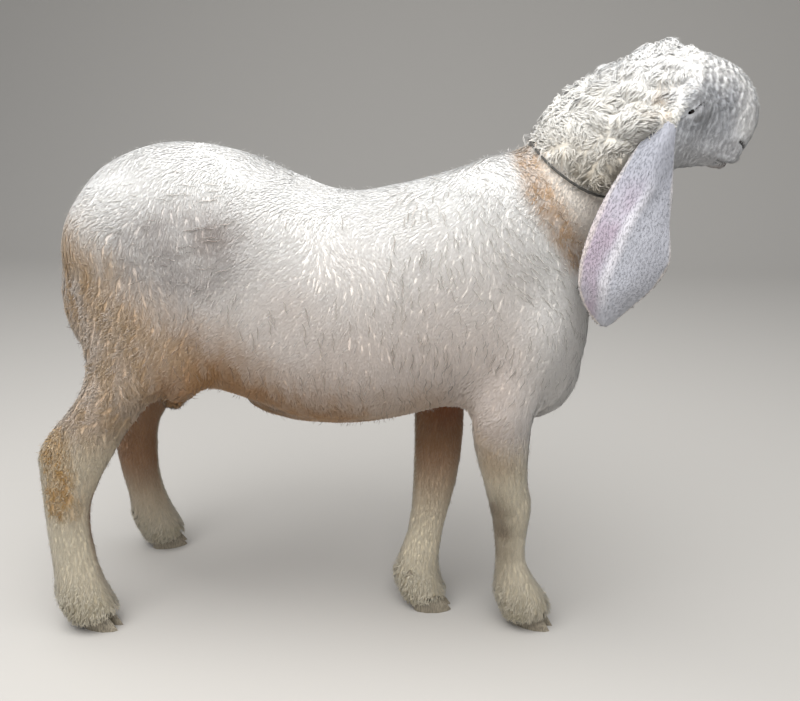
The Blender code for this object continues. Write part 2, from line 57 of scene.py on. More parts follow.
# The eyes tie the ram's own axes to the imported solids.
EYE_X = 0.594
EYE_Z = 0.921

# The skin is rounded in cells of this size, from solids swollen a little so that they run together.
CELL = 0.0078
SWELL = 0.0012
# How deep the coat lies over the skin
DEPTH = {"fleece": 0.0050, "mane": 0.0060, "leg": 0.0036, "face": 0.0010, "bare": 0.0030}

# The wool cap ends on the face at x for each z, and the mane ends over the collar at z for each x.
CAP_EDGE = (
    (0.780, 0.500),
    (0.860, 0.545),
    (0.898, 0.562),
    (0.921, 0.573),
    (0.934, 0.579),
    (0.942, 0.594),
    (0.955, 0.601),
    (0.975, 0.607),
    (1.000, 0.614),
    (1.030, 0.622),
)
MANE_EDGE = ((0.335, 0.930), (0.372, 0.869), (0.405, 0.850), (0.426, 0.824), (0.461, 0.809), (0.560, 0.800))
# The close-clipped neck below the collar starts at x for each z.
NECK_EDGE = ((0.660, 0.470), (0.704, 0.444), (0.722, 0.434), (0.760, 0.406), (0.796, 0.382), (0.872, 0.350))

# The hanging ears: the middle and the half width at each z, and the pale ridge down the outer face
EAR_MIDDLE = ((0.604, 0.484), (0.636, 0.486), (0.710, 0.505), (0.805, 0.517), (0.880, 0.539), (0.922, 0.556))
EAR_HALF = (
    (0.604, 0.006),
    (0.636, 0.035),
    (0.668, 0.056),
    (0.710, 0.066),
    (0.760, 0.056),
    (0.842, 0.036),
    (0.922, 0.014),
)
EAR_RIDGE = (
    (0.683, 0.472),
    (0.707, 0.479),
    (0.744, 0.491),
    (0.777, 0.503),
    (0.817, 0.527),
    (0.857, 0.537),
    (0.897, 0.545),
)
# The roll of wool over each ear, as middle and radii: where the skin swells, where the locks are longer and
# stand higher, and where they grow closer
EAR_SWELL = ((0.517, 0.09, 0.903), (0.060, 0.07, 0.036))
EAR_TUFT = ((0.530, 0.10, 0.903), (0.060, 0.06, 0.040))
EAR_THICKET = ((0.540, 0.10, 0.893), (0.060, 0.06, 0.042))

# Roots of locks and hairs to the square metre
FLEECE_ROOTS = 97000
LEG_ROOTS = 100000
FACE_ROOTS = 230000
BARE_ROOTS = 110000
EAR_ROOTS = 90000
MANE_ROOTS = 106000
STAINED_ROOTS = 60000
# Cracks to the square metre of shorn fleece: on flank, shoulder and rump, and anywhere above the belly
FLANK_CRACKS = 1500
SHOULDER_CRACKS = 3600
RUMP_CRACKS = 3000
LONE_CRACKS = 80

# Flat hair: its length, its half width, how much its tone varies, and how far it is drawn into clumps
FACE_HAIR = {"length": 0.0056, "width": 0.00065, "spread": 0.06, "clump": 1.0}
NECK_HAIR = {"length": 0.0080, "width": 0.0011, "spread": 0.07, "clump": 0.0}
EAR_HAIR = {"length": 0.0062, "width": 0.00065, "spread": 0.08, "clump": 0.0}

# The mane stands in lumps of this size, and each lump is made of locks of this size.
MANE_LUMP = 0.032
MANE_LOCK = 0.0100
# The size of the stained curls below the cord, to that of the mane's lumps and locks
STAINED_SCALE = 0.40
# Rings between root and tip, in a lock of the mane and in a crack
MANE_RINGS = 5
CRACK_RINGS = 5
# Where a short lock's root, its one ring and its tip are along it. It is widest past its middle.
SHORT_LOCK = np.array((0, 0.62, 1))
# The side of the square that each lock takes on the map, as a share of the map
PATCH = 0.003
# How high the cracks lie in the fleece
CRACK_RISE = 0.0018
# How far the painted shade line in the crease of the lids stands off them, and its radii from the slit to
# its end
CREASE_SHADE_RISE = 0.0012
CREASE_SHADE_RADII = np.array((0.00075, 0.00065, 0.00055, 0.00045, 0.0003))
# Wool that lies in shade is a little warmer.
CRACK_TINT = np.array((1.07, 1.0, 0.92))


# Small numeric helpers


def ramp(value, low, high):
    """0 below low, 1 above high, and a smooth rise between them."""
    t = np.clip((value - low) / (high - low), 0, 1)
    return t * t * (3 - 2 * t)


def along_table(value, table):
    """Reads a table of (value, result) pairs, in a straight line between its rows."""
    keys, results = zip(*table)
    return np.interp(value, keys, results)


def unit(vectors):
    return vectors / np.maximum(np.linalg.norm(vectors, axis=-1, keepdims=True), 1e-12)


def mixed(a, b, share):
    return a + (b - a) * share[:, None]


def scramble(lattice, seed):
    """A fixed fraction from 0 to 1 for each lattice point."""
    n = lattice.astype(np.int64) @ np.array((73856093, 19349663, 83492791)) + seed * 1013904223
    n = (n ^ (n >> 13)) * 1274126177
    n = (n ^ (n >> 16)) & 0xFFFFFF
    return n / 0x1000000


def wander(points, size, seed):
    """Smooth noise from -1 to 1, in swells about size across."""
    scaled = points / size
    low = np.floor(scaled)
    inside = scaled - low
    inside = inside * inside * (3 - 2 * inside)
    total = np.zeros(len(points))
    for corner in itertools.product((0, 1), repeat=3):
        weight = np.prod(np.where(corner, inside, 1 - inside), axis=1)
        total += weight * scramble(low + corner, seed)
    return 2 * total - 1


def staples(points, size, seed):
    """Splits the wool into staples of about this size. Gives each point's distance from the nearest parting,
    as a share of the size, the way to the middle of its own staple, and a fixed fraction for each staple."""
    scaled = points / size
    low = np.floor(scaled)
    nearest = np.full(len(points), 9.0)
    second = np.full(len(points), 9.0)
    middle = np.zeros_like(points)
    tone = np.zeros(len(points))
    for step in itertools.product((-1, 0, 1), repeat=3):
        cell = low + step
        jitter = np.stack([scramble(cell, seed + axis) for axis in range(3)], axis=1)
        centre = cell + 0.1 + 0.8 * jitter
        away = np.linalg.norm(centre - scaled, axis=1)
        closer = away < nearest
        second = np.where(closer, nearest, np.minimum(second, away))
        middle[closer] = centre[closer]
        tone = np.where(closer, scramble(cell, seed + 3), tone)
        nearest = np.where(closer, away, nearest)
    return second - nearest, middle * size - points, tone


def near_line(points, places, reach):
    """1 on a line through places, falling smoothly to 0 at reach. Places of two numbers are x and z."""
    axes = [0, 2] if len(places[0]) == 2 else [0, 1, 2]
    flat = points[:, axes]
    best = np.full(len(points), 9.0)
    for a, b in zip(np.array(places[:-1]), np.array(places[1:])):
        t = np.clip(((flat - a) @ (b - a)) / ((b - a) @ (b - a)), 0, 1)
        best = np.minimum(best, np.linalg.norm(flat - a - t[:, None] * (b - a), axis=1))
    return 1 - ramp(best, 0, reach)


def blob(points, centre, radii, gain=1.0):
    """1 at the middle of an ellipsoid, falling smoothly to 0 at its surface. More gain keeps more at 1."""
    return np.clip(gain * (1 - ramp(np.linalg.norm((points - centre) / radii, axis=1), 0, 1)), 0, 1)


# Places on the ram


def box_middle(node):
    low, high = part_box(node)
    return (low + high) / 2


EYES = {side: box_middle(f"eye_{side}") for side in SIDES}
ORIGIN = (EYES["right"] + EYES["left"]) / 2 - Vector((EYE_X, 0, EYE_Z))


def own(points):
    """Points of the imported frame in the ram's own axes."""
    return points - np.array(ORIGIN)


def mirrored(p):
    """The same points with the left side folded on to the right, as y outward."""
    return np.stack([p[:, 0], np.abs(p[:, 1]), p[:, 2]], axis=1)


def above_mane_edge(p):
    return ramp(p[:, 2] - along_table(p[:, 0], MANE_EDGE), -0.004, 0.004)


def before_cap_edge(p, blend=0.005):
    """1 on the face, 0 under the wool cap."""
    wave = 0.004 * wander(p, 0.02, 11)
    return ramp(p[:, 0] + wave - along_table(p[:, 2], CAP_EDGE), -blend, 0.005) * ramp(p[:, 2], 0.77, 0.79)


def from_eye(p):
    """How far each point is from the middle of the nearer eye."""
    return np.linalg.norm(mirrored(p) - (EYE_X, EYES["left"][1] - ORIGIN[1], EYE_Z), axis=1)


def ear_root(p):
    """1 on the top of an ear, where the wool of the cap hangs over it."""
    return ramp(p[:, 2] - 0.80 * (p[:, 0] - 0.52) + 0.005 * wander(p, 0.012, 14), 0.884, 0.894)


def regions(p):
    """How far each point belongs to the coat's regions, from 0 to 1."""
    upper = above_mane_edge(p)
    face = before_cap_edge(p) * upper
    mane = upper * (1 - face)
    past_base = ramp(p[:, 0] + 0.006 * wander(p, 0.03, 12) - along_table(p[:, 2], NECK_EDGE), 0, 0.014)
    bare = past_base * (1 - upper) * ramp(p[:, 2], 0.660, 0.700)
    hind_limb = ramp(-p[:, 0], 0.20, 0.24) * ramp(np.abs(p[:, 1]), 0.05, 0.07)
    limb = np.maximum(ramp(p[:, 0], 0.12, 0.16), hind_limb)
    leg = np.maximum(limb * (1 - ramp(p[:, 2], 0.340, 0.430)), 1 - ramp(p[:, 2], 0.33, 0.36))
    fleece = (1 - upper) * (1 - bare) * (1 - leg)
    return SimpleNamespace(face=face, mane=mane, bare=bare, leg=leg, fleece=fleece)


# Colours


def linear(code):
    """An sRGB hex colour as linear red, green and blue."""
    values = [int(code[i : i + 2], 16) / 255 for i in (1, 3, 5)]
    return np.array([v / 12.92 if v <= 0.04045 else ((v + 0.055) / 1.055) ** 2.4 for v in values])


WHITE_WOOL = linear("#faf7f1")
FLANK_CREAM = linear("#eddccf")
MANE_CREAM = linear("#f4efe4")
THROAT_SHADE_CREAM = linear("#bfb4a2")
FACE_SHADE_GREY = linear("#afb0b3")
CHEEK_SHADE_GREY = linear("#cacacc")
EYE_GREY = linear("#bcbcbd")
BELLY_TAN = linear("#ae7a47")
RUMP_TAN = linear("#c3a481")
YOLK_OCHRE = linear("#bd8f58")
NECK_OCHRE = linear("#bb9166")
HOCK_OCHRE = linear("#b58a50")
INNER_BROWN = linear("#8a5a32")
PURSE_TAN = linear("#b98a5c")
CANNON_DUN = linear("#7d6c56")
ARMPIT_RED = linear("#8a4526")
LEG_CREAM = linear("#ddcfb3")
MUD = linear("#b3a584")
EAR_LILAC = linear("#ad9fac")
EAR_BLUE = linear("#bbbcc4")
EAR_TOP_SHADE = linear("#999aa2")
EAR_RIDGE_HIGHLIGHT = linear("#e6e3e8")
EAR_CREAM = linear("#ddd2c6")
BARE_CREAM = linear("#f3e8da")
HIP_MAUVE = linear("#aba19b")
HIP_HOLLOW_SHADE = linear("#9f9086")
LIP_PINK = linear("#b39a92")
SLIT_SHADE = linear("#17110f")

# Below this line, z for each x, the fleece is stained tan from rump to breast.
TAN_EDGE = (
    (-0.46, 0.79),
    (-0.40, 0.765),
    (-0.34, 0.710),
    (-0.27, 0.655),
    (-0.20, 0.605),
    (-0.10, 0.545),
    (-0.02, 0.500),
    (0.08, 0.470),
    (0.22, 0.460),
    (0.34, 0.420),
)
# Where the ridges between the joined solids are smoothed out: at stifle, foreleg top and belly
EASED = (
    ((-0.175, 0.130, 0.540), (0.085, 0.09, 0.095)),
    ((0.345, 0.110, 0.500), (0.100, 0.08, 0.080)),
    ((0.415, 0.090, 0.610), (0.070, 0.09, 0.075)),
    ((-0.070, 0.060, 0.440), (0.100, 0.08, 0.055)),
)
# Lines on the face, as x and z, and the stains of neck, hock and gaskin
EYE_CREASE = ((0.5905, 0.9245), (0.5980, 0.9305), (0.6060, 0.9352))
MOUTH_LINE = ((0.6438, 0.8491), (0.6542, 0.8450), (0.6643, 0.8424), (0.6735, 0.8410), (0.6850, 0.8410))
NOSTRIL = ((0.6735, 0.8770), (0.6795, 0.8725), (0.6830, 0.8665), (0.6832, 0.8600), (0.6815, 0.8555))
NECK_STAIN = ((0.350, 0.860), (0.372, 0.815), (0.398, 0.775), (0.424, 0.735), (0.440, 0.706))
HOCK_STAIN = ((-0.428, 0.14, 0.380), (-0.421, 0.14, 0.325), (-0.427, 0.14, 0.262))
GASKIN_STAIN = ((-0.27, 0.11, 0.47), (-0.35, 0.12, 0.40), (-0.40, 0.12, 0.34), (-0.41, 0.12, 0.26))
# The bones under the face, as x and z
BROW = ((0.570, 0.936), (0.590, 0.946), (0.615, 0.944))
UNDER_EYE = ((0.580, 0.898), (0.600, 0.898), (0.616, 0.910))
TEAR_BONE = ((0.626, 0.930), (0.632, 0.890), (0.626, 0.860))
JAW = ((0.580, 0.880), (0.610, 0.868), (0.640, 0.860))
# The breast between the forelegs, where the fleece is longer
BRISKET = ((0.355, 0.0, 0.465), (0.08, 0.13, 0.07))


def trunk_colour(p, facing):
    """White wool above, cream on the low flank, partly painted warm shade, greyish on the hip, and stained
    tan from rump to breast, with painted shade in the hip's hollow and on the underside.
    """
    x = p[:, 0]
    z = p[:, 2]
    both = mirrored(p)
    # Cream on the low flank: partly the wool's own tone, partly painted warm shade low on the body.
    low_flank = 1 - ramp(z + 0.03 * wander(p, 0.08, 21), 0.50, 0.82)
    colour = np.tile(WHITE_WOOL, (len(p), 1))
    colour = mixed(colour, FLANK_CREAM, low_flank * (1 - 0.7 * ramp(x, 0.32, 0.42)))
    patchy = ramp(0.5 * wander(p, 0.034, 22) + 0.7 * wander(p * (0.6, 1, 1.8), 0.009, 35), -0.9, 0.8)
    hip = blob(both, (-0.175, 0.12, 0.710), (0.19, 0.12, 0.120), 1.8)
    colour = mixed(colour, HIP_MAUVE, hip * (0.50 + 0.35 * patchy))
    # Painted shade in the hollow before the hip, broken up by the patches.
    hollow = blob(both, (-0.125, 0.12, 0.735), (0.080, 0.12, 0.050), 1.3)
    colour = mixed(colour, HIP_HOLLOW_SHADE, 0.5 * hollow * patchy)
    streaks = ramp(wander(p * (1, 1, 0.3), 0.014, 23), -0.7, 0.6)
    edge = along_table(x, TAN_EDGE) + 0.020 * wander(p, 0.05, 29) + 0.03 * ramp(-x, 0.24, 0.32)
    tan = ramp(edge - z, -0.080, 0.070) * (1 - ramp(x, 0.24, 0.36))
    colour = mixed(colour, RUMP_TAN, tan * (0.60 + 0.40 * streaks))
    buttock = blob(both, (-0.375, 0.09, 0.650), (0.085, 0.10, 0.125), 1.2)
    colour = mixed(colour, YOLK_OCHRE, buttock * streaks * 0.75)
    # Tan where the coat faces down: partly stain, partly painted shade on the underside.
    belly = ramp(-facing[:, 2], -0.25, 0.55) * tan
    belly = belly * ramp(x, -0.30, -0.20) * (1 - 0.5 * ramp(x, 0.06, 0.14))
    colour = mixed(colour, BELLY_TAN, belly * (0.75 + 0.25 * streaks))
    # Tan between the hind legs: partly urine stain, partly painted warm light bounced up from below.
    groin = blob(both, (-0.20, 0.03, 0.45), (0.10, 0.08, 0.08), 1.4)
    return mixed(colour, BELLY_TAN, groin * (0.18 + 0.20 * streaks))


def stained_and_shaded_legs(colour, p, facing):
    """Ochre clots on the hock, dun cannons, partly dirt and partly painted shade, brown between the legs,
    partly stain and partly painted shade, red armpits, and mud by the hooves.
    """
    x, y, z = p.T
    both = mirrored(p)
    inner = -facing[:, 1] * np.sign(y)
    colour = mixed(colour, RUMP_TAN, 0.45 * near_line(both, GASKIN_STAIN, 0.075))
    clots = ramp(wander(p * (1.6, 1, 0.6), 0.008, 25), -0.5, 0.5)
    hock = np.clip(1.7 * near_line(both, HOCK_STAIN, 0.048) - 0.35 * (1 - clots), 0, 1)
    hock *= 1 - ramp(inner, -0.3, 0.3)
    colour = mixed(colour, HOCK_OCHRE, hock * (0.5 + 0.5 * clots))
    blotches = ramp(wander(p, 0.024, 26), -0.5, 0.6)
    # Dun fore cannons: partly dirt in blotches, partly painted shade.
    cannon = blob(both, (0.325, 0.09, 0.20), (0.060, 0.09, 0.16), 1.6)
    colour = mixed(colour, CANNON_DUN, cannon * (0.60 + 0.35 * blotches))
    forearm = blob(both, (0.325, 0.10, 0.38), (0.07, 0.07, 0.10))
    colour = mixed(colour, RUMP_TAN, forearm * (0.5 + 0.3 * blotches))
    # Brown on the legs' inner sides, where they face each other: partly stain, partly painted shade between
    # the legs.
    between = ramp(inner + 0.25 * facing[:, 0], -0.1, 0.5) * (1 - ramp(z, 0.50, 0.56))
    between *= ramp(z + 0.10 * ramp(-x, 0, 0.2), 0.14, 0.34)
    colour = mixed(colour, INNER_BROWN, 0.9 * between)
    armpit = blob(both, (0.26, 0.03, 0.42), (0.12, 0.06, 0.09))
    colour = mixed(colour, ARMPIT_RED, 0.9 * armpit * ramp(inner, -0.4, 0.3))
    colour = mixed(colour, PURSE_TAN, blob(p, (-0.235, 0.0, 0.420), (0.12, 0.08, 0.09), 1.8))
    mud = (1 - ramp(z, 0.03, 0.12)) * ramp(wander(p, 0.016, 27), -0.5, 0.6)
    return mixed(colour, MUD, 0.65 * mud)


def stained_and_shaded_neck(colour, p, where):
    """Mane wool with painted shade, cream low on the throat, and painted light, white at the top, with a tan
    tangle over the ear, and yolk where neck and shoulder meet.
    """
    z = p[:, 2]
    # Painted shade: the mane's wool is cream low on the throat and grows whiter up the neck, to painted
    # light at the top.
    wool = mixed(np.tile(THROAT_SHADE_CREAM, (len(p), 1)), MANE_CREAM, ramp(z, 0.82, 0.92))
    colour = mixed(colour, wool, where.mane)
    colour = mixed(colour, WHITE_WOOL, where.mane * ramp(z, 0.93, 1.00))
    tangle = blob(mirrored(p), (0.548, 0.09, 0.935), (0.055, 0.06, 0.045))
    tangle = tangle * ramp(wander(p, 0.012, 32), -0.3, 0.5)
    colour = mixed(colour, RUMP_TAN, 0.7 * tangle)
    colour = mixed(colour, BARE_CREAM, where.bare)
    yolk = near_line(p, NECK_STAIN, 0.036) * (1 - where.mane) * (1 - where.face)
    specks = ramp(wander(p, 0.006, 28), -0.5, 0.5)
    return mixed(colour, NECK_OCHRE, np.clip(1.3 * yolk, 0, 1) * (0.50 + 0.40 * specks))


def marked_face(colour, p, where):
    """A face of short white hair, grey partly in its own tone and partly with painted shade, greyest on the
    upper face, with painted light making cheek, nose and brow paler, and painted shade in the lines of
    mouth, nostrils and eyelids.
    """
    x, y, z = p.T
    both = mirrored(p)
    # Painted shade: the face's white hair is painted grey, greyer up the face and less on the cheek and
    # towards the nose; the short hair's own tone is a little darker than wool.
    greyer = ramp(z, 0.862, 0.900) * (1 - 0.7 * ramp(x, 0.645, 0.675))
    face = mixed(np.tile(CHEEK_SHADE_GREY, (len(p), 1)), FACE_SHADE_GREY, greyer)
    # Painted light: white on the brow and on the top of the nose.
    face = mixed(face, WHITE_WOOL, 0.65 * ramp(z + 0.010 * wander(p, 0.016, 33), 0.940, 0.990))
    face = mixed(face, WHITE_WOOL, 0.50 * ramp(x, 0.650, 0.680) * ramp(z, 0.86, 0.90))
    colour = mixed(colour, face, where.face)
    around_eye = blob(both, (0.590, 0.08, 0.945), (0.055, 0.06, 0.045))
    around_eye = around_eye * (0.6 + 0.4 * ramp(wander(p, 0.012, 34), -0.5, 0.5))
    colour = mixed(colour, EYE_GREY, np.clip(1.2 * around_eye, 0, 1))
    jaw = blob(both, (0.668, 0.0, 0.832), (0.050, 0.05, 0.016)) * where.face
    colour = mixed(colour, LIP_PINK, 0.9 * jaw)
    # Painted shade in the line of the mouth, in the nostrils and in the crease of the lids.
    mouth = near_line(p, MOUTH_LINE, 0.0026) * where.face * ramp(x, 0.640, 0.646)
    nostril = near_line(p, NOSTRIL, 0.0045) * ramp(np.abs(y), 0.006, 0.010) * where.face
    crease = near_line(p, EYE_CREASE, 0.0017) * ramp(np.abs(y), 0.04, 0.05)
    dark = np.clip(1.5 * np.maximum(np.maximum(mouth, nostril), 0.62 * crease), 0, 1)
    return mixed(colour, SLIT_SHADE, 0.94 * dark)


def markings(p, facing):
    """The colour of skin and coat at each point, from the same few patches of dirt, yolk and white wool,
    with painted light and shade on trunk, legs, neck, face and in creases.
    """
    where = regions(p)
    colour = mixed(trunk_colour(p, facing), LEG_CREAM, where.leg)
    colour = stained_and_shaded_legs(colour, p, facing)
    colour = stained_and_shaded_neck(colour, p, where)
    return marked_face(colour, p, where)


def ear_across(p):
    """Where a point lies across its ear: -1 at the rear edge, 1 at the front edge."""
    return (p[:, 0] - along_table(p[:, 2], EAR_MIDDLE)) / along_table(p[:, 2], EAR_HALF)


def from_ridge(p):
    """How far forward of the ear's ridge a point is."""
    return p[:, 0] - along_table(p[:, 2], EAR_RIDGE)


def ear_markings(p):
    """Lilac behind the ridge, where thin skin shows through, blue-grey before it, a painted highlight on the
    ridge, painted shade on the top under the wool, and cream on the rim.
    """
    ahead = from_ridge(p)
    lilac = (1 - ramp(ahead, -0.014, 0.006)) * (0.55 + 0.45 * ramp(wander(p, 0.030, 31), -0.6, 0.4))
    colour = mixed(np.tile(EAR_BLUE, (len(p), 1)), EAR_LILAC, lilac)
    # Painted highlight along the convex fold of the ridge.
    ridge = 1 - ramp(np.abs(ahead - 0.002), 0.001, 0.012)
    pale = 0.85 * ridge * ramp(p[:, 2], 0.62, 0.68) * (1 - ramp(p[:, 2], 0.80, 0.86))
    colour = mixed(colour, EAR_RIDGE_HIGHLIGHT, pale)
    # Painted shade on the top of the ear, under the wool of the cap.
    colour = mixed(colour, EAR_TOP_SHADE, ramp(p[:, 2], 0.76, 0.86))
    rim = ramp(np.abs(ear_across(p)), 0.90, 0.99) * (1 - 0.5 * ramp(p[:, 2], 0.70, 0.80))
    return mixed(colour, EAR_CREAM, 0.7 * rim)


# The skin


def merged_copy(nodes, swell=0.0):
    """One bmesh of some nodes' solids, with doubled corners merged and each solid swollen a little."""
    bm = bmesh.new()
    for node in nodes:
        bm.from_mesh(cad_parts[node].data)
    bmesh.ops.remove_doubles(bm, verts=bm.verts, dist=1e-5)
    bm.normal_update()
    for vert in bm.verts:
        vert.co += vert.normal * swell
    return bm


def new_object(name, mesh):
    made = bpy.data.objects.new(name, mesh)
    bpy.context.scene.collection.objects.link(made)
    return made


def object_from(name, bm):
    """A new object of a bmesh, which is used up."""
    mesh = bpy.data.meshes.new(name)
    bm.to_mesh(mesh)
    bm.free()
    return new_object(name, mesh)


def with_modifier(bm, kind, **settings):
    """The mesh that a modifier makes of bm, as a new bmesh."""
    rough = object_from("rough", bm)
    modifier = rough.modifiers.new(kind.lower(), kind)
    for key, value in settings.items():
        setattr(modifier, key, value)
    done = bpy.data.meshes.new_from_object(rough.evaluated_get(bpy.context.evaluated_depsgraph_get()))
    bpy.data.objects.remove(rough)
    result = bmesh.new()
    result.from_mesh(done)
    bpy.data.meshes.remove(done)
    return result


def coordinates(bm):
    return np.array([v.co for v in bm.verts])


def vertex_normals(bm):
    bm.normal_update()
    return np.array([v.normal for v in bm.verts])


def set_coordinates(bm, places):
    for vert, place in zip(bm.verts, places):
        vert.co = place


def push_out(bm, distances):
    """Moves each vertex along its normal by its own distance."""
    set_coordinates(bm, coordinates(bm) + vertex_normals(bm) * distances[:, None])


def neighbour_mean(values, edges, count):
    """Each vertex's mean over its neighbours."""
    total = np.zeros((len(values), values.shape[1]))
    for a, b in ((0, 1), (1, 0)):
        for axis in range(values.shape[1]):
            seen = values[edges[:, b], axis]
            total[:, axis] += np.bincount(edges[:, a], weights=seen, minlength=len(values))
    return total / count[:, None]


def edges_of(bm):
    """The mesh's edges by vertex number, and how many of them each vertex has."""
    bm.verts.index_update()
    edges = np.array([(e.verts[0].index, e.verts[1].index) for e in bm.edges])
    return edges, np.maximum(np.bincount(edges.ravel(), minlength=len(bm.verts)), 1)


def ease(bm, rounds):
    """Smooths the trunk, and the ridges where thighs, forelegs and belly run into each other."""
    edges, count = edges_of(bm)
    places = coordinates(bm)
    p = own(places)
    both = mirrored(p)
    trunk = regions(p).fleece * ramp(p[:, 0], -0.43, -0.37) * ramp(p[:, 2], 0.47, 0.52)
    ridges = np.max([blob(both, *place, 1.6) for place in EASED], axis=0)
    share = 0.5 * np.maximum(trunk, ridges)[:, None]
    for _ in range(rounds):
        places += share * (neighbour_mean(places, edges, count) - places)
    set_coordinates(bm, places)


def relax(bm, rounds):
    """Smooths a mesh, with a step outward after each step inward so that it doesn't shrink."""
    edges, count = edges_of(bm)
    places = coordinates(bm)
    for amount in (0.5, -0.52) * rounds:
        places += amount * (neighbour_mean(places, edges, count) - places)
    set_coordinates(bm, places)


def soften(values, bm, rounds):
    """Evens out one number for each vertex over its neighbours."""
    edges, count = edges_of(bm)
    values = values[:, None]
    for _ in range(rounds):
        values = neighbour_mean(values, edges, count)
    return values[:, 0]


def refine(bm, wanted):
    """Cuts each wanted face in four."""
    faces = [face for face in bm.faces if wanted(own(np.array(face.calc_center_median())))]
    edges = {edge for face in faces for edge in face.edges}
    bmesh.ops.subdivide_edges(bm, edges=list(edges), cuts=1, use_grid_fill=True)


def from_dewclaws(p):
    """How far each point is from the middle of the nearest dewclaw."""
    middles = [own(np.array(box_middle(name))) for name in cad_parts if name.startswith("dewclaw")]
    return np.min([np.linalg.norm(p - middle, axis=1) for middle in middles], axis=0)


def coat_depth(p):
    """How deep the coat lies over the skin at each point. It thins out round eyes and dewclaws."""
    where = regions(p)
    under_cap = where.mane * (1 - before_cap_edge(p, 0.030))
    depth = (
        DEPTH["fleece"] * where.fleece
        + DEPTH["mane"] * under_cap
        + DEPTH["leg"] * where.leg * ramp(from_dewclaws(p), 0.012, 0.035)
        + DEPTH["bare"] * where.bare
    )
    return np.maximum(depth * ramp(from_eye(p), 0.010, 0.040), DEPTH["face"])


def muzzle_form(p, aside):
    """Mouth, lips, nostrils with their wings, and the groove between them, outward in metres."""
    mouth = -0.0034 * near_line(p, MOUTH_LINE, 0.0032) * ramp(p[:, 0], 0.638, 0.646)
    lips = 0.0020 * near_line(p, [(x, z + 0.0065) for x, z in MOUTH_LINE], 0.007)
    lower_lip = 0.0020 * near_line(p, [(x, z - 0.0060) for x, z in MOUTH_LINE[:-1]], 0.006)
    off_middle = ramp(aside, 0.006, 0.010)
    nostril = -0.0065 * near_line(p, NOSTRIL, 0.0042) * off_middle
    wing = 0.0013 * near_line(p, [(x - 0.007, z + 0.004) for x, z in NOSTRIL], 0.013) * off_middle
    philtrum = -0.0020 * (1 - ramp(aside, 0.001, 0.005)) * ramp(p[:, 0], 0.665, 0.675)
    philtrum = philtrum * (1 - ramp(p[:, 2], 0.865, 0.880))
    return mouth + lips + lower_lip + nostril + wing + philtrum


def features(p):
    """How far creases, swellings and the lumps of the mane move the skin outward, in metres."""
    both = mirrored(p)
    aside = both[:, 1]
    where = regions(p)
    face = ramp(p[:, 0], 0.560, 0.600) * ramp(p[:, 2], 0.80, 0.82)
    at_eye = ramp(aside, 0.03, 0.05)
    socket = -0.0060 * (1 - ramp(from_eye(p), 0.0125, 0.0190)) * at_eye
    brow = 0.0014 * near_line(p, BROW, 0.018) * at_eye
    under_eye = -0.0010 * near_line(p, UNDER_EYE, 0.014) * at_eye
    tear_bone = 0.0014 * near_line(p, TEAR_BONE, 0.022)
    jaw = 0.0016 * near_line(p, JAW, 0.020)
    grooves = 0.0007 * wander(p * (1.8, 1, 0.4), 0.008, 41) * (1 - ramp(p[:, 2], 0.91, 0.94))
    curls = ramp(staples(p, 0.012, 43)[0], 0, 0.7) - 0.5
    tufted = 0.0020 * curls * ramp(p[:, 2], 0.90, 0.95) * ramp(from_eye(p), 0.022, 0.032)
    muzzle = muzzle_form(p, aside)
    on_face = face * (muzzle + socket + brow + under_eye + tear_bone + jaw + grooves + tufted)
    lumps = staples(p, MANE_LUMP, 81)[0]
    small = staples(p, MANE_LOCK, 87)[0]
    swell = 0.0075 * (ramp(lumps, 0, 0.80) - 0.45) + 0.0012 * (ramp(small, 0, 0.7) - 0.5)
    swell += 0.016 * blob(both, *EAR_SWELL)
    return on_face + swell * where.mane * (1 - before_cap_edge(p, 0.03)) * ramp(from_eye(p), 0.016, 0.034)


def ear_form(p, facing):
    """The ridge and the turned rim of an ear, outward in metres."""
    outer = ramp(facing[:, 1] * np.sign(p[:, 1]), 0.0, 0.4)
    down = ramp(p[:, 2], 0.64, 0.70) * (1 - ramp(p[:, 2], 0.80, 0.88))
    ridge = 0.0026 * (1 - ramp(np.abs(from_ridge(p)), 0.0, 0.018)) * down
    hollow = -0.0014 * (1 - ramp(np.abs(from_ridge(p) - 0.024), 0.0, 0.024)) * down
    ripple = 0.0010 * wander(p * (1, 1, 0.6), 0.030, 42)
    return outer * (ridge + hollow + ripple)


# The lids swell over the eyeball and part at a slit, which is tilted, and set back and up from the middle.
LID_RADIUS = 0.0134
LID_OUTER = 0.0270
LID_BLEND = 0.0012
LID_COLUMNS = 48
LID_ROWS = 12
SLIT_HALF = 0.0070
SLIT_HEIGHT = 0.0062
SLIT_TILT = math.radians(27)
SLIT_BACK = 0.0062
SLIT_UP = 0.0038
# How much thicker a lid is at the slit, and how far its edge turns in there
LID_ROLL = 0.0005
LID_TUCK = 0.0022


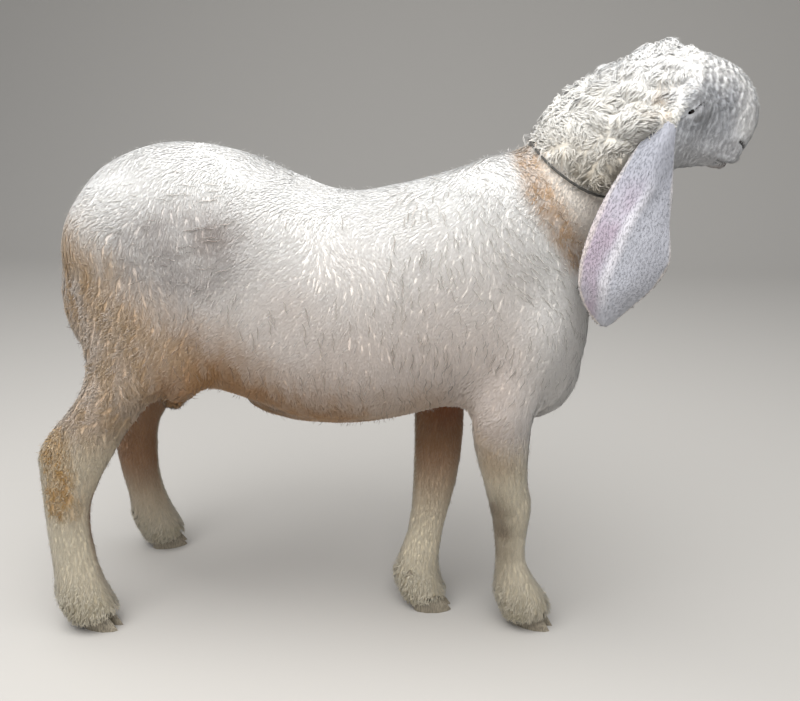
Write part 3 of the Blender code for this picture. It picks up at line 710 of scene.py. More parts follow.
def add_lids(bm, side):
    """Both lids of one eye: sheets that swell over the ball, part at a slit and run out into the face."""
    tree = BVHTree.FromBMesh(bm)
    middle = np.array(EYES[side])
    outward = np.array((0, SIDES[side], 0))
    forward = np.array((math.cos(SLIT_TILT), 0, math.sin(SLIT_TILT)))
    over = np.array((-math.sin(SLIT_TILT), 0, math.cos(SLIT_TILT)))

    def face_height(a, b):
        hit = tree.ray_cast(Vector(middle + a * forward + b * over + 0.08 * outward), Vector(-outward))[0]
        return (np.array(hit) - middle) @ outward

    def terms(a, b):
        return (1, a, b, a * a, a * b, b * b)

    angles = np.linspace(0, 2 * math.pi, 24, endpoint=False)
    ring = [(r * math.cos(t), r * math.sin(t)) for r in (0.020, 0.0235, LID_OUTER) for t in angles]
    heights = [face_height(a, b) for a, b in ring]
    fit = np.linalg.lstsq(np.array([terms(a, b) for a, b in ring]), np.array(heights), rcond=None)[0]
    for sign in (1, -1):
        grid = []
        for i in range(LID_COLUMNS + 1):
            t = 2 * i / LID_COLUMNS - 1
            a = 0.985 * LID_OUTER * (0.35 * t + 0.65 * t**3) - SLIT_BACK * (1 - t * t)
            open_part = max(0.0, 1 - abs((a + SLIT_BACK) / SLIT_HALF) ** 2.0)
            edge = 0.5 * SLIT_HEIGHT * open_part + sign * SLIT_UP
            rim = math.sqrt(LID_OUTER**2 - a * a)
            line = []
            for j in range(LID_ROWS + 2):
                share = max(j - 1, 0) / LID_ROWS
                b = sign * (edge + max(rim - edge, 0) * share**1.5)
                ball = math.sqrt(max(LID_RADIUS**2 - a * a - b * b, 0))
                face = float(fit @ terms(a, b))
                height = LID_BLEND * np.logaddexp(ball / LID_BLEND, face / LID_BLEND)
                height += LID_ROLL * math.exp(-40 * share) - (LID_TUCK if j == 0 else 0)
                sunk = ramp(share, 0.55, 1.0)
                if sunk > 0:
                    height += sunk * (face_height(a, b) - 0.0002 - height)
                line.append(middle + a * forward + b * over + height * outward)
            grid.append([bm.verts.new(place) for place in line])
        flip = (SIDES[side] > 0) == (sign > 0)
        for left, right in zip(grid[:-1], grid[1:]):
            for j in range(LID_ROWS + 1):
                corners = (left[j], right[j], right[j + 1], left[j + 1])
                bm.faces.new(corners[::-1] if flip else corners)


def hollowness(places, facing, edges):
    """How sharply the surface curves inward at each vertex, as one over a radius: 0 where it bulges."""
    count = np.maximum(np.bincount(edges.ravel(), minlength=len(places)), 1)
    inward = np.sum((neighbour_mean(places, edges, count) - places) * facing, axis=1)
    spans = np.sum((places[edges[:, 0]] - places[edges[:, 1]]) ** 2, axis=1)
    total = np.bincount(edges[:, 0], spans, len(places)) + np.bincount(edges[:, 1], spans, len(places))
    curve = (4 * inward / np.maximum(total / count, 1e-9))[:, None]
    for _ in range(4):
        curve = neighbour_mean(curve, edges, count)
    return np.clip(curve[:, 0], 0, 60)


def read(items, key, width, kind=float):
    """One property of a mesh's items, as a row of so many numbers for each."""
    values = np.empty(len(items) * width, kind)
    items.foreach_get(key, values)
    return values.reshape(-1, width)


def skin_arrays(mesh):
    """What the coat needs of a mesh: its points, normals, triangles and their places on the map."""
    mesh.calc_loop_triangles()
    places = read(mesh.vertices, "co", 3)
    facing = read(mesh.vertex_normals, "vector", 3)
    loops = read(mesh.loop_triangles, "loops", 3, np.int32)
    return SimpleNamespace(
        places=places,
        facing=facing,
        hollow=hollowness(places, facing, read(mesh.edges, "vertices", 2, np.int32)),
        corners=read(mesh.loop_triangles, "vertices", 3, np.int32),
        flat=read(mesh.uv_layers["OFBake"].data, "uv", 2)[loops],
    )


def make_skin():
    """The body's skin from the flesh solids, joined, rounded and drawn in by the coat's depth. Its faces are
    finer on head and mane."""
    bm = with_modifier(merged_copy(FLESH, SWELL), "REMESH", mode="VOXEL", voxel_size=CELL)
    relax(bm, 9)
    refine(bm, lambda p: p[0] > 0.560 and p[2] > 0.80)
    relax(bm, 4)
    refine(bm, lambda p: p[0] > 0.575 and p[2] > 0.81)
    refine(bm, lambda p: 0.33 < p[0] <= 0.575 and p[2] > 0.80 and p[2] > 1.16 - 0.80 * p[0])
    relax(bm, 3)
    push_out(bm, -soften(coat_depth(own(coordinates(bm))), bm, 6))
    relax(bm, 3)
    ease(bm, 22)
    push_out(bm, features(own(coordinates(bm))))
    return bm


def unwrap(obj):
    """Lays the mesh's own surface out flat, in islands that don't overlap."""
    bpy.context.view_layer.objects.active = obj
    obj.select_set(True)
    obj.data.uv_layers.new(name="OFBake")
    bpy.ops.object.mode_set(mode="EDIT")
    bpy.ops.mesh.select_all(action="SELECT")
    bpy.ops.uv.smart_project(angle_limit=math.radians(66), island_margin=0.003)
    bpy.ops.object.mode_set(mode="OBJECT")
    obj.select_set(False)


def paint(mesh, colours):
    """Keeps one colour for each vertex in the attribute that the materials read."""
    layer = mesh.color_attributes.new("markings", "FLOAT_COLOR", "POINT")
    full = np.ones((len(colours), 4), np.float32)
    full[:, :3] = colours
    layer.data.foreach_set("color", full.ravel())


def smooth(mesh):
    """Shades all of a mesh's faces smooth."""
    mesh.polygons.foreach_set("use_smooth", np.ones(len(mesh.polygons), bool))


def finished(piece, material, slot, *nodes):
    """Gives a piece its material, and puts it on the body, for the solids that it stands for. The slot is
    not used.
    """
    piece.data.materials.append(material)
    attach(piece, "root")
    if nodes:
        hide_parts(*nodes)


# Locks of wool and hair


def scatter(surface, density, seed):
    """Roots spread evenly over a surface, with so many to the square metre at each vertex."""
    corners = surface.places[surface.corners]
    cross = np.cross(corners[:, 1] - corners[:, 0], corners[:, 2] - corners[:, 0])
    wanted = 0.5 * np.linalg.norm(cross, axis=1) * density[surface.corners].mean(axis=1)
    total = np.cumsum(wanted)
    count = int(total[-1])
    triangle = np.searchsorted(total, np.arange(count) + 0.5)
    order = np.arange(count) + 1000 * seed
    u = np.sqrt((order * 0.7548776662) % 1)
    v = (order * 0.5698402909) % 1
    shares = np.stack([1 - u, u * (1 - v), u * v], axis=1)

    def at_roots(values):
        return np.einsum("ij,ij...->i...", shares, values)

    index = surface.corners[triangle]
    return SimpleNamespace(
        places=at_roots(surface.places[index]),
        facing=unit(at_roots(surface.facing[index])),
        hollow=at_roots(surface.hollow[index]),
        flat=at_roots(surface.flat[triangle]),
        chance=np.random.default_rng(seed).random((count, 8)),
        count=count,
    )


def flattened(direction, facing):
    """A direction laid on the surface, at unit length."""
    direction = np.broadcast_to(direction, facing.shape)
    inward = np.sum(direction * facing, axis=1, keepdims=True)
    return unit(direction - inward * facing + 1e-6)


def surface_axes(facing):
    """Two directions along the surface, at right angles to each other, that turn smoothly over the ram."""
    aside = flattened(np.array((1.0, 0.3, 0.1)), facing)
    return aside, np.cross(facing, aside)


def heading(direction, facing):
    """The angle of a direction along the surface, from the first of its axes."""
    aside, across = surface_axes(facing)
    return np.arctan2(np.sum(direction * across, axis=1), np.sum(direction * aside, axis=1))


def pattern(sides, rings):
    """The faces of one closed lock, by its vertices' numbers, and each corner's place on its patch."""
    tip = rings * sides + 1
    faces = []
    spots = []
    for k in range(sides):
        after = (k + 1) % sides
        a, b = k / sides, (k + 1) / sides
        faces.append([0, 1 + after, 1 + k])
        spots.append([((a + b) / 2, 0.0), (b, 1 / (rings + 1)), (a, 1 / (rings + 1))])
        for ring in range(rings - 1):
            low = 1 + ring * sides
            c, d = (ring + 1) / (rings + 1), (ring + 2) / (rings + 1)
            faces.append([low + k, low + after, low + sides + after, low + sides + k])
            spots.append([(a, c), (b, c), (b, d), (a, d)])
        top = 1 + (rings - 1) * sides
        faces.append([top + k, top + after, tip])
        spots.append([(a, rings / (rings + 1)), (b, rings / (rings + 1)), ((a + b) / 2, 1.0)])
    return faces, spots


def weave(name, roots, paths, radii, colours, flat, soft, sides=3):
    """Joins one lock for each root into a closed mesh. A path runs from the lock's root to its tip, and the
    lock is as thick as radii say at the points between. Flat is its thickness to its width, and soft is how
    far its shading follows the coat as a whole."""
    count, rings = radii.shape
    ahead = unit(paths[:, 2:] - paths[:, :-2])
    up = np.broadcast_to(roots.facing[:, None, :], ahead.shape)
    side = unit(np.cross(up, ahead) + 1e-5)
    top = unit(np.cross(ahead, side))
    angles = 2 * math.pi * (np.arange(sides) + 0.25) / sides
    around = side[:, :, None, :] * np.cos(angles)[:, None]
    around = around + flat * top[:, :, None, :] * np.sin(angles)[:, None]
    ring_points = paths[:, 1:-1, None, :] + radii[:, :, None, None] * around
    points = np.concatenate([paths[:, :1, :], ring_points.reshape(count, -1, 3), paths[:, -1:, :]], axis=1)
    lift = roots.facing[:, None, None, :]
    ring_normals = unit((1 - soft) * unit(around) + soft * lift).reshape(count, -1, 3)
    end = roots.facing[:, None, :]
    normals = np.concatenate([end, ring_normals, end], axis=1)
    ring_colours = np.repeat(colours[:, 1:-1], sides, axis=1)
    shade = np.concatenate([colours[:, :1], ring_colours, colours[:, -1:]], axis=1)
    faces, spots = pattern(sides, rings)
    per_lock = points.shape[1]
    corner = np.array([v for face in faces for v in face])
    spot = (np.array([s for face in spots for s in face]) - 0.5) * PATCH
    sizes = np.array([len(face) for face in faces])
    loops = (corner[None, :] + per_lock * np.arange(count)[:, None]).ravel()
    starts = np.concatenate([[0], np.cumsum(np.tile(sizes, count))[:-1]])
    mesh = bpy.data.meshes.new(name)
    mesh.vertices.add(count * per_lock)
    mesh.vertices.foreach_set("co", points.ravel().astype(np.float32))
    mesh.loops.add(len(loops))
    mesh.loops.foreach_set("vertex_index", loops.astype(np.int32))
    mesh.polygons.add(len(starts))
    mesh.polygons.foreach_set("loop_start", starts.astype(np.int32))
    mesh.update(calc_edges=True)
    smooth(mesh)
    layer = mesh.uv_layers.new(name="OFBake")
    places = np.clip(roots.flat, PATCH, 1 - PATCH)[:, None, :] + spot[None, :, :]
    layer.data.foreach_set("uv", places.ravel().astype(np.float32))
    paint(mesh, shade.reshape(-1, 3))
    mesh.normals_split_custom_set_from_vertices(normals.reshape(-1, 3).astype(np.float32))
    return new_object(name, mesh)


def combed_paths(roots, start, finish, length, depth):
    """Paths of short locks that leave the skin along start, from this depth, and bend over to finish."""
    t = SHORT_LOCK[None, :, None]
    step = start[:, None, :] * t + (finish - start)[:, None, :] * t * t * 0.5
    return (roots.places - roots.facing * depth)[:, None, :] + length[:, None, None] * step


def waved_paths(roots, aim, length, bend, wave, height, rings):
    """Paths that run over the skin, bend one way, wave from side to side and arch off it in the middle."""
    t = np.linspace(0, 1, rings + 2)[None, :]
    aside, across = surface_axes(roots.facing)
    turn = aim[:, None] + bend[:, None] * t + wave[:, None] * np.sin(2 * math.pi * 1.25 * t)
    step = length[:, None] / (rings + 1)
    along = np.cumsum(np.cos(turn) * step, axis=1) - np.cos(turn[:, :1]) * step
    beside = np.cumsum(np.sin(turn) * step, axis=1) - np.sin(turn[:, :1]) * step
    rise = height[:, None] * np.sin(math.pi * np.minimum(t * 1.15 + 0.10, 1.0)) - 0.0020 * (1 - t) ** 2
    return (
        roots.places[:, None, :]
        + along[:, :, None] * aside[:, None, :]
        + beside[:, :, None] * across[:, None, :]
        + rise[:, :, None] * roots.facing[:, None, :]
    )


def shaded(colour, root_shade, chance, spread):
    """A short lock's colour from its root to its tip, with painted shade at the root, a little different on
    each lock.
    """
    shade = root_shade + (1 - root_shade) * np.minimum(1.6 * SHORT_LOCK, 1)
    each = 1 + spread * (2 * chance - 1)
    return np.clip(colour[:, None, :] * shade[None, :, None] * each[:, None, None], 0, 1)


def crack_density(p):
    """Cracks to the square metre in the fleece: few and long on the low flank, many on the shoulder."""
    x = p[:, 0]
    z = p[:, 2]
    flank = ramp(x, -0.14, 0.00) * (1 - ramp(x, 0.16, 0.24))
    flank = flank * ramp(z, 0.48, 0.52) * (1 - ramp(z, 0.60, 0.68))
    shoulder = ramp(x, 0.13, 0.20) * ramp(z, 0.46, 0.52) * (1 - ramp(z, 0.78, 0.86))
    rump = ramp(-x, 0.05, 0.13) * ramp(z + 0.5 * ramp(-x, 0.13, 0.25), 0.60, 0.66)
    rump = rump * (1 - ramp(z, 0.76, 0.86))
    broken = 0.35 + 0.65 * ramp(wander(p, 0.05, 51), -0.5, 0.3)
    return (
        FLANK_CRACKS * flank
        + SHOULDER_CRACKS * shoulder * (1 - 0.5 * flank)
        + RUMP_CRACKS * rump
        + LONE_CRACKS * ramp(z, 0.46, 0.50)
    ) * broken


def crack_lie(p):
    """Cracks run down the flank, fan forward over the shoulder and lie level on the hip."""
    x = p[:, 0]
    z = p[:, 2]
    forward = 0.15 + 1.5 * ramp(x, 0.20, 0.38) * ramp(z, 0.56, 0.70)
    forward = forward + 0.8 * (1 - ramp(z, 0.46, 0.54)) * (1 - ramp(x, 0.10, 0.20))
    forward = forward - 0.5 * ramp(x, 0.18, 0.24) * (1 - ramp(z, 0.50, 0.58)) + 0.35 * wander(p, 0.06, 54)
    level = ramp(-x, 0.04, 0.12) * ramp(z, 0.62, 0.68)
    forward = forward * (1 - level) - 1.4 * level
    return np.stack([forward, 0.2 * wander(p, 0.05, 55), -1.0 + 0.8 * level], axis=1)


def grow_crack_shade(name, surface, density, seed):
    """The shade in fine partings of the fleece, painted on long thin dark locks, each in line with its
    neighbours.
    """
    roots = scatter(surface, density, seed)
    p = own(roots.places)
    chance = roots.chance
    flank = ramp(p[:, 0], -0.16, -0.06) * (1 - ramp(p[:, 0], 0.18, 0.26))
    rump = ramp(-p[:, 0], 0.16, 0.24)
    lie = flattened(crack_lie(p) + 0.35 * (chance[:, 1:4] - 0.5), roots.facing)
    bend = 0.5 * (2 * chance[:, 4] - 1)
    aim = heading(lie, roots.facing) - 0.5 * bend
    length = (0.016 + 0.022 * chance[:, 0] ** 1.5) * (1 + 0.45 * flank - 0.4 * rump)
    wave = 0.15 + 0.40 * chance[:, 5]
    height = np.full(roots.count, 0.0014)
    paths = waved_paths(roots, aim, length, bend, wave, height, CRACK_RINGS)
    paths += CRACK_RISE * roots.facing[:, None, :]
    taper = np.sin(np.linspace(0.16, 0.84, CRACK_RINGS) * math.pi)
    radii = (0.00040 + 0.00034 * chance[:, 7] + 0.0003 * flank)[:, None] * taper[None, :]
    # Painted shade: each crack's locks take the coat's colour, darkened to the shade inside a parting.
    dark = 0.31 + 0.16 * chance[:, 6] + 0.05 * rump
    colour = markings(p, roots.facing) * dark[:, None] * CRACK_TINT
    colours = np.repeat(colour[:, None, :], CRACK_RINGS + 2, axis=1)
    return weave(name, roots, paths, radii, colours, flat=0.6, soft=0.95)


def fleece_lie(p):
    """The way the body's coat lies: down and back, turned here and there in slow swirls."""
    swirl = 1.1 * wander(p, 0.07, 52)
    return np.stack([-0.45 + swirl, 0.5 * wander(p, 0.07, 53), np.full(len(p), -1.0)], axis=1)


def grow_fleece(name, surface, density, seed):
    """Short dense fleece of fine flat locks, drawn together in small staples, with a few stray ends. Locks
    in a hollow stand up more, so that they don't sink into the skin beyond it."""
    roots = scatter(surface, density, seed)
    p = own(roots.places)
    facing = roots.facing
    chance = roots.chance
    where = regions(p)
    gap, way, tone = staples(p * (1, 1, 0.6), 0.012, 64)
    belly = ramp(-facing[:, 2], 0.1, 0.7)
    rump = ramp(-p[:, 0], 0.12, 0.30) * (1 - ramp(p[:, 2], 0.60, 0.80))
    stain = near_line(p, NECK_STAIN, 0.025)
    stray = chance[:, 3] > 0.98 - 0.04 * rump
    length = 0.0145 + 0.0030 * (chance[:, 0] - 0.5) + 0.004 * belly + 0.003 * rump
    length += 0.008 * blob(p, *BRISKET)
    length *= (1 - 0.45 * where.leg) * (1 - 0.60 * where.bare)
    loose = 0.45 + 0.5 * stain + 0.35 * rump
    lie = flattened(fleece_lie(p) + loose[:, None] * (chance[:, 1:4] - 0.5), facing)
    lean = unit(lie + (0.12 + 0.40 * rump)[:, None] * flattened(way, facing))
    rise = np.where(stray, 0.8 + 0.4 * chance[:, 5], 0.30 + 0.12 * rump) + 1.4 * length * roots.hollow
    end_rise = np.where(stray, 0.5, 0.0) + 0.5 * length * roots.hollow
    start = unit(rise[:, None] * facing + lean)
    finish = unit(end_rise[:, None] * facing + lean)
    paths = combed_paths(roots, start, finish, length, 0.0008)
    width = 0.00132 * (0.75 + 0.5 * chance[:, 7]) * np.where(stray, 0.30, 1 - 0.1 * rump)
    # Painted shade: stray ends, which stand out into the light, are darkened where the coat faces sideways,
    # and locks by a staple's parting are darker.
    each = np.where(stray, 0.50 + 0.45 * ramp(facing[:, 2], 0.3, 0.8), 1.0)
    each = each * (1 - (0.03 + 0.16 * rump) * (1 - ramp(gap, 0.0, 0.35)))
    each = each * (1 + (0.012 + 0.06 * rump) * (2 * tone - 1))
    colours = shaded(markings(p, facing) * each[:, None], 0.98, chance[:, 0], 0.02)
    return weave(name, roots, paths, width[:, None], colours, flat=0.16, soft=0.97)


def grow_leg_hair(name, surface, density, seed):
    """Close wool down the legs, in small clots on the hock, longer and looser round fetlock and coronet."""
    roots = scatter(surface, density, seed)
    p = own(roots.places)
    facing = roots.facing
    chance = roots.chance
    z = p[:, 2]
    hock = near_line(mirrored(p), HOCK_STAIN, 0.060)
    fetlock = (1 - ramp(z, 0.050, 0.140)) * ramp(z, 0.014, 0.030)
    fetlock = np.maximum(fetlock, 1 - ramp(from_dewclaws(p), 0.015, 0.035))
    stray = chance[:, 3] > 0.86
    gap, way, tone = staples(p, np.array((0.007, 0.007, 0.014)), 73)
    clots = np.clip(0.15 + 0.8 * hock + 0.45 * fetlock, 0, 1)
    parting = (1 - ramp(gap, 0.02, 0.30)) * clots
    length = 0.0085 + 0.0035 * chance[:, 0] + 0.0020 * hock + 0.0075 * fetlock + 0.004 * ramp(z, 0.30, 0.40)
    lie = flattened(np.array((-0.15, 0, -1.0)) + 0.7 * (chance[:, 1:4] - 0.5), facing)
    lean = unit(lie + flattened(way, facing) * (0.9 * clots)[:, None])
    rise = np.where(stray, 1.1, 0.40 + 0.35 * fetlock) + 1.2 * length * roots.hollow
    start = unit(facing * rise[:, None] + lean)
    finish = unit(facing * np.where(stray, 0.6, 0.12)[:, None] + lean)
    paths = combed_paths(roots, start, finish, length, 0.001)
    width = (0.0012 + 0.0003 * hock) * (0.8 + 0.4 * chance[:, 7]) * np.where(stray, 0.30, 1.0)
    # Painted shade: stray ends and the locks by the partings between clots are darker.
    each = np.where(stray, 0.85, 1.0) * (1 - 0.32 * parting) * (1 + (0.05 + 0.12 * hock) * (2 * tone - 1))
    colours = shaded(markings(p, facing) * each[:, None], 0.92, chance[:, 0], 0.04)
    return weave(name, roots, paths, width[:, None], colours, flat=0.35, soft=0.85)


def grow_flat_hair(name, surface, density, seed, colour_of, length, width, spread, clump):
    """Fine short hair that lies flat, on face, clipped neck and ears, drawn into small clumps."""
    roots = scatter(surface, density, seed)
    p = own(roots.places)
    facing = roots.facing
    chance = roots.chance
    back = -0.45 + 0.25 * wander(p, 0.05, 72)
    comb = np.stack([back, 0.2 * wander(p, 0.04, 71), np.full(len(p), -0.9)], axis=1)
    gap, way, tone = staples(p, np.array((0.010, 0.010, 0.013)), 74)
    woolly = clump * ramp(p[:, 2], 0.89, 0.95)
    lie = flattened(comb + 0.6 * (chance[:, 1:4] - 0.5), facing)
    lie = unit(lie + (0.3 * clump + 0.5 * woolly)[:, None] * flattened(way, facing))
    start = unit(facing * (0.30 + 0.40 * woolly)[:, None] + lie)
    finish = unit(facing * (0.05 + 0.15 * woolly)[:, None] + lie)
    reach = length * (0.7 + 0.6 * chance[:, 0]) * (1 + 0.35 * woolly)
    paths = combed_paths(roots, start, finish, reach, 0.0005)
    radii = (width * (0.8 + 0.4 * chance[:, 7]))[:, None]
    # Painted shade: hairs by the partings between clumps are darker.
    each = (1 - 0.14 * clump * (1 - ramp(gap, 0.0, 0.35))) * (1 + 0.04 * clump * (2 * tone - 1))
    colours = shaded(colour_of(p, facing) * each[:, None], 0.92, chance[:, 2], spread)
    return weave(name, roots, paths, radii, colours, flat=0.35, soft=0.90)


def grow_mane(name, surface, density, seed, scale=1.0):
    """Long crimped wool in soft lumps. The locks of one lump lie and bend the same way, in finer bundles,
    and the lowest fall over the mane's edge as a fringe."""
    roots = scatter(surface, density, seed)
    p = own(roots.places)
    facing = roots.facing
    chance = roots.chance
    gap, _, tone = staples(p, MANE_LUMP * scale, 81)
    fine_gap, fine_way, fine_tone = staples(p, MANE_LOCK * scale, 87)
    turn = scramble(np.round(tone[:, None] * (9999, 5555, 3333)), 91)
    edge_height = p[:, 2] - along_table(p[:, 0], MANE_EDGE)
    fringe = ramp(edge_height, -0.010, 0.0) * (1 - ramp(edge_height, 0.004, 0.024))
    by_ear = blob(mirrored(p), *EAR_TUFT)
    aside, across = surface_axes(facing)
    spin = 2 * math.pi * tone
    swirl = aside * np.cos(spin)[:, None] + across * np.sin(spin)[:, None]
    fall = (0.45 + 0.9 * fringe + 0.3 * by_ear)[:, None] * flattened(np.array((-0.35, 0, -1.0)), facing)
    drawn = unit(fall + 0.8 * swirl + 0.25 * flattened(fine_way, facing) + 0.22 * (chance[:, 1:4] - 0.5))
    aim = heading(drawn, facing) + 1.2 * (fine_tone - 0.5)
    bend = np.where(turn > 0.5, 1.0, -1.0) * (0.9 + 1.1 * fine_tone) * (1 - 0.7 * fringe)
    wave = 0.30 * (0.6 + 0.8 * chance[:, 5])
    face_gap = np.clip((along_table(p[:, 2], CAP_EDGE) - p[:, 0]) / 0.05, 0.45, 1)
    reach = 0.0190 * scale**0.8 * (0.75 + 0.5 * chance[:, 0]) * np.maximum(face_gap, by_ear)
    reach = reach * (1 + 0.3 * fringe + 0.1 * by_ear)
    stray = 1 + 1.2 * (chance[:, 3] > 0.95)
    height = 0.0030 * scale * (0.5 + 0.9 * chance[:, 6]) * face_gap * stray * (1 + fringe + 1.8 * by_ear)
    paths = waved_paths(roots, aim, reach, bend, wave, height, MANE_RINGS)
    taper = np.sin(np.linspace(0.30, 0.93, MANE_RINGS) * math.pi) ** 0.7
    radii = (0.00092 * (0.7 + 0.5 * chance[:, 7]))[:, None] * taper[None, :]
    # Painted shade in the gaps between lumps and between locks, and a little at each lock's root.
    each = 1 - 0.06 * (1 - ramp(gap, 0.0, 0.30)) - 0.07 * (1 - ramp(fine_gap, 0.0, 0.30))
    colour = markings(p, facing) * (each * (0.97 + 0.03 * fine_tone))[:, None]
    shade = np.linspace(0.96, 1.0, MANE_RINGS + 2)[None, :, None]
    colours = np.clip(colour[:, None, :] * shade * (1 + 0.04 * (chance[:, 2:3] - 0.5))[:, :, None], 0, 1)
    return weave(name, roots, paths, radii, colours, flat=0.45, soft=0.93)


def grow_crease_shade_lines(name, surface):
    """A thin dark line of painted shade in the crease of the closed lids, from the slit of each eye forward
    and up.
    """
    p = own(surface.places)
    count = len(CREASE_SHADE_RADII) + 2
    lines = []
    for side in SIDES.values():
        outer = np.where((p[:, 1] * side > 0.03) & (from_eye(p) < 0.040))[0]
        line = []
        for t in np.linspace(0, 1, count):
            x = np.interp(t, (0, 0.5, 1), [spot[0] for spot in EYE_CREASE])
            z = np.interp(t, (0, 0.5, 1), [spot[1] for spot in EYE_CREASE])
            off = np.linalg.norm(p[outer][:, [0, 2]] - (x, z), axis=1)
            near = outer[np.argsort(off)[:6]]
            top = near[np.argmax(side * p[near, 1])]
            line.append((x + ORIGIN[0], surface.places[top, 1] + side * CREASE_SHADE_RISE, z + ORIGIN[2]))
        lines.append(line)
    facing = np.array([(0.0, side, 0.0) for side in SIDES.values()])
    roots = SimpleNamespace(facing=facing, flat=np.full((2, 2), 0.5))
    radii = np.tile(CREASE_SHADE_RADII, (2, 1))
    colours = np.tile(1.6 * SLIT_SHADE, (2, count, 1))
    return weave(name, roots, np.array(lines), radii, colours, flat=0.8, soft=0.9)


# Materials


def make_material(name, **settings):
    """A Principled material with settings by socket name, and its shader."""
    material = bpy.data.materials.new(name)
    material.use_nodes = True
    shader = material.node_tree.nodes["Principled BSDF"]
    for socket, value in settings.items():
        shader.inputs[socket.replace("_", " ")].default_value = value
    return material, shader


def add(tree, kind, settings=None, **wires):
    """Adds a node. Settings are its properties, or its inputs by name. Wires lead sockets to its inputs."""
    node = tree.nodes.new(kind)
    for key, value in (settings or {}).items():
        if hasattr(node, key) and key not in node.inputs:
            setattr(node, key, value)
        else:
            node.inputs[key].default_value = value
    for key, source in wires.items():
        name = key.replace("_", " ")
        tree.links.new(source, node.inputs[int(name[2:])] if name.startswith("at") else node.inputs[name])
    return node


def cover_with_fibres(tree, shader, place, scale, tones, strength, height):
    """Gives a shader the coat's markings, with tone and relief broken up by fibres one over scale across."""
    colour = add(tree, "ShaderNodeAttribute", {"attribute_name": "markings"})
    fibres = add(tree, "ShaderNodeTexNoise", {"Scale": scale, "Detail": 2.0}, Vector=place)
    low, high = tones
    tone = add(tree, "ShaderNodeMapRange", {"To Min": low, "To Max": high}, Value=fibres.outputs["Fac"])
    shade = add(
        tree,
        "ShaderNodeVectorMath",
        {"operation": "SCALE"},
        at0=colour.outputs["Color"],
        Scale=tone.outputs["Result"],
    )
    tree.links.new(shade.outputs["Vector"], shader.inputs["Base Color"])
    relief = {"Strength": strength, "Distance": height}
    bump = add(tree, "ShaderNodeBump", relief, Height=fibres.outputs["Fac"])
    tree.links.new(bump.outputs["Normal"], shader.inputs["Normal"])


def mottle(tree, shader, place, scale, dark, light):
    """Colours a shader between two tones, given with their levels, in grains one over scale across."""
    grains = add(tree, "ShaderNodeTexNoise", {"Scale": scale, "Detail": 3.0}, Vector=place)
    tones = add(tree, "ShaderNodeValToRGB", None, Fac=grains.outputs["Fac"])
    for stop, (level, code) in zip(tones.color_ramp.elements, (dark, light)):
        stop.position = level
        stop.color = (*linear(code), 1)
    tree.links.new(tones.outputs["Color"], shader.inputs["Base Color"])


def wool_material(name, bundle, height, sheen):
    """Keratin fibre: matt, faintly glossy at a low angle. Its fibres are 0.03 mm thick, too fine to show, so
    bundles of them are drawn, 1 to 1.6 mm across, which break up the tone of each lock."""
    material, shader = make_material(
        name,
        Roughness=0.85,
        IOR=1.45,
        Specular_IOR_Level=0.12,
        Subsurface_Weight=0.5,
        Subsurface_Scale=0.006,
        Subsurface_Radius=(1.0, 0.9, 0.8),
        Sheen_Weight=sheen,
        Sheen_Roughness=0.5,
    )
    tree = material.node_tree
    place = add(tree, "ShaderNodeTexCoord").outputs["Object"]
    cover_with_fibres(tree, shader, place, 1 / bundle, (0.90, 1.06), 0.5, height)
    return material


def hide_material():
    """Living skin under short hair: soft, matt, with strokes of hair that lie down and back. They are drawn
    0.7 mm wide and 3 mm long, coarser than single hairs, so that they show."""
    material, shader = make_material(
        "hide_with_short_hair", Roughness=0.72, IOR=1.4, Sheen_Weight=0.15, Sheen_Roughness=0.6
    )
    tree = material.node_tree
    place = add(tree, "ShaderNodeTexCoord").outputs["Object"]
    lie = {"Rotation": (0, 0.6, 0), "Scale": (1400, 1400, 330)}
    strokes = add(tree, "ShaderNodeMapping", lie, Vector=place)
    cover_with_fibres(tree, shader, strokes.outputs["Vector"], 1.0, (0.93, 1.04), 0.35, 0.0008)
    return material


def horn_material():
    """Hoof horn: pale tan keratin with streaks 1.4 mm wide down it and growth rings 2.4 mm apart."""
    material, shader = make_material("hoof_horn", Roughness=0.55, IOR=1.54)
    tree = material.node_tree
    place = add(tree, "ShaderNodeTexCoord").outputs["Object"]
    streaks = add(tree, "ShaderNodeMapping", {"Scale": (700, 700, 60)}, Vector=place)
    mottle(tree, shader, streaks.outputs["Vector"], 1.0, (0.3, "#6b6254"), (0.7, "#a69c88"))
    rings = add(
        tree,
        "ShaderNodeTexWave",
        {"bands_direction": "Z", "Scale": 130.0, "Distortion": 3.0, "Detail": 2.0},
        Vector=place,
    )
    bump = add(tree, "ShaderNodeBump", {"Strength": 0.6, "Distance": 0.0006}, Height=rings.outputs["Fac"])
    tree.links.new(bump.outputs["Normal"], shader.inputs["Normal"])
    return material


def mottled_material(name, grain, dark, light, **settings):
    """A material with grains this far across, between two tones."""
    material, shader = make_material(name, **settings)
    tree = material.node_tree
    place = add(tree, "ShaderNodeTexCoord").outputs["Object"]
    mottle(tree, shader, place, 1 / grain, dark, light)
    return material


FLEECE = wool_material("shorn_fleece_wool", 0.0016, 0.0006, 0.25)
MANE_WOOL = wool_material("long_curled_wool", 0.0011, 0.0006, 0.25)
HAIR = wool_material("short_face_and_leg_hair", 0.0010, 0.0004, 0.2)
HIDE = hide_material()
HORN = horn_material()
# A wet dark-brown eye under its cornea: nearly black, with a sharp gloss
EYE = mottled_material(
    "wet_dark_eye",
    1 / 900,
    (0.35, "#0b0706"),
    (0.75, "#2a1a10"),
    Roughness=0.08,
    IOR=1.38,
    Coat_Weight=1.0,
    Coat_Roughness=0.02,
)
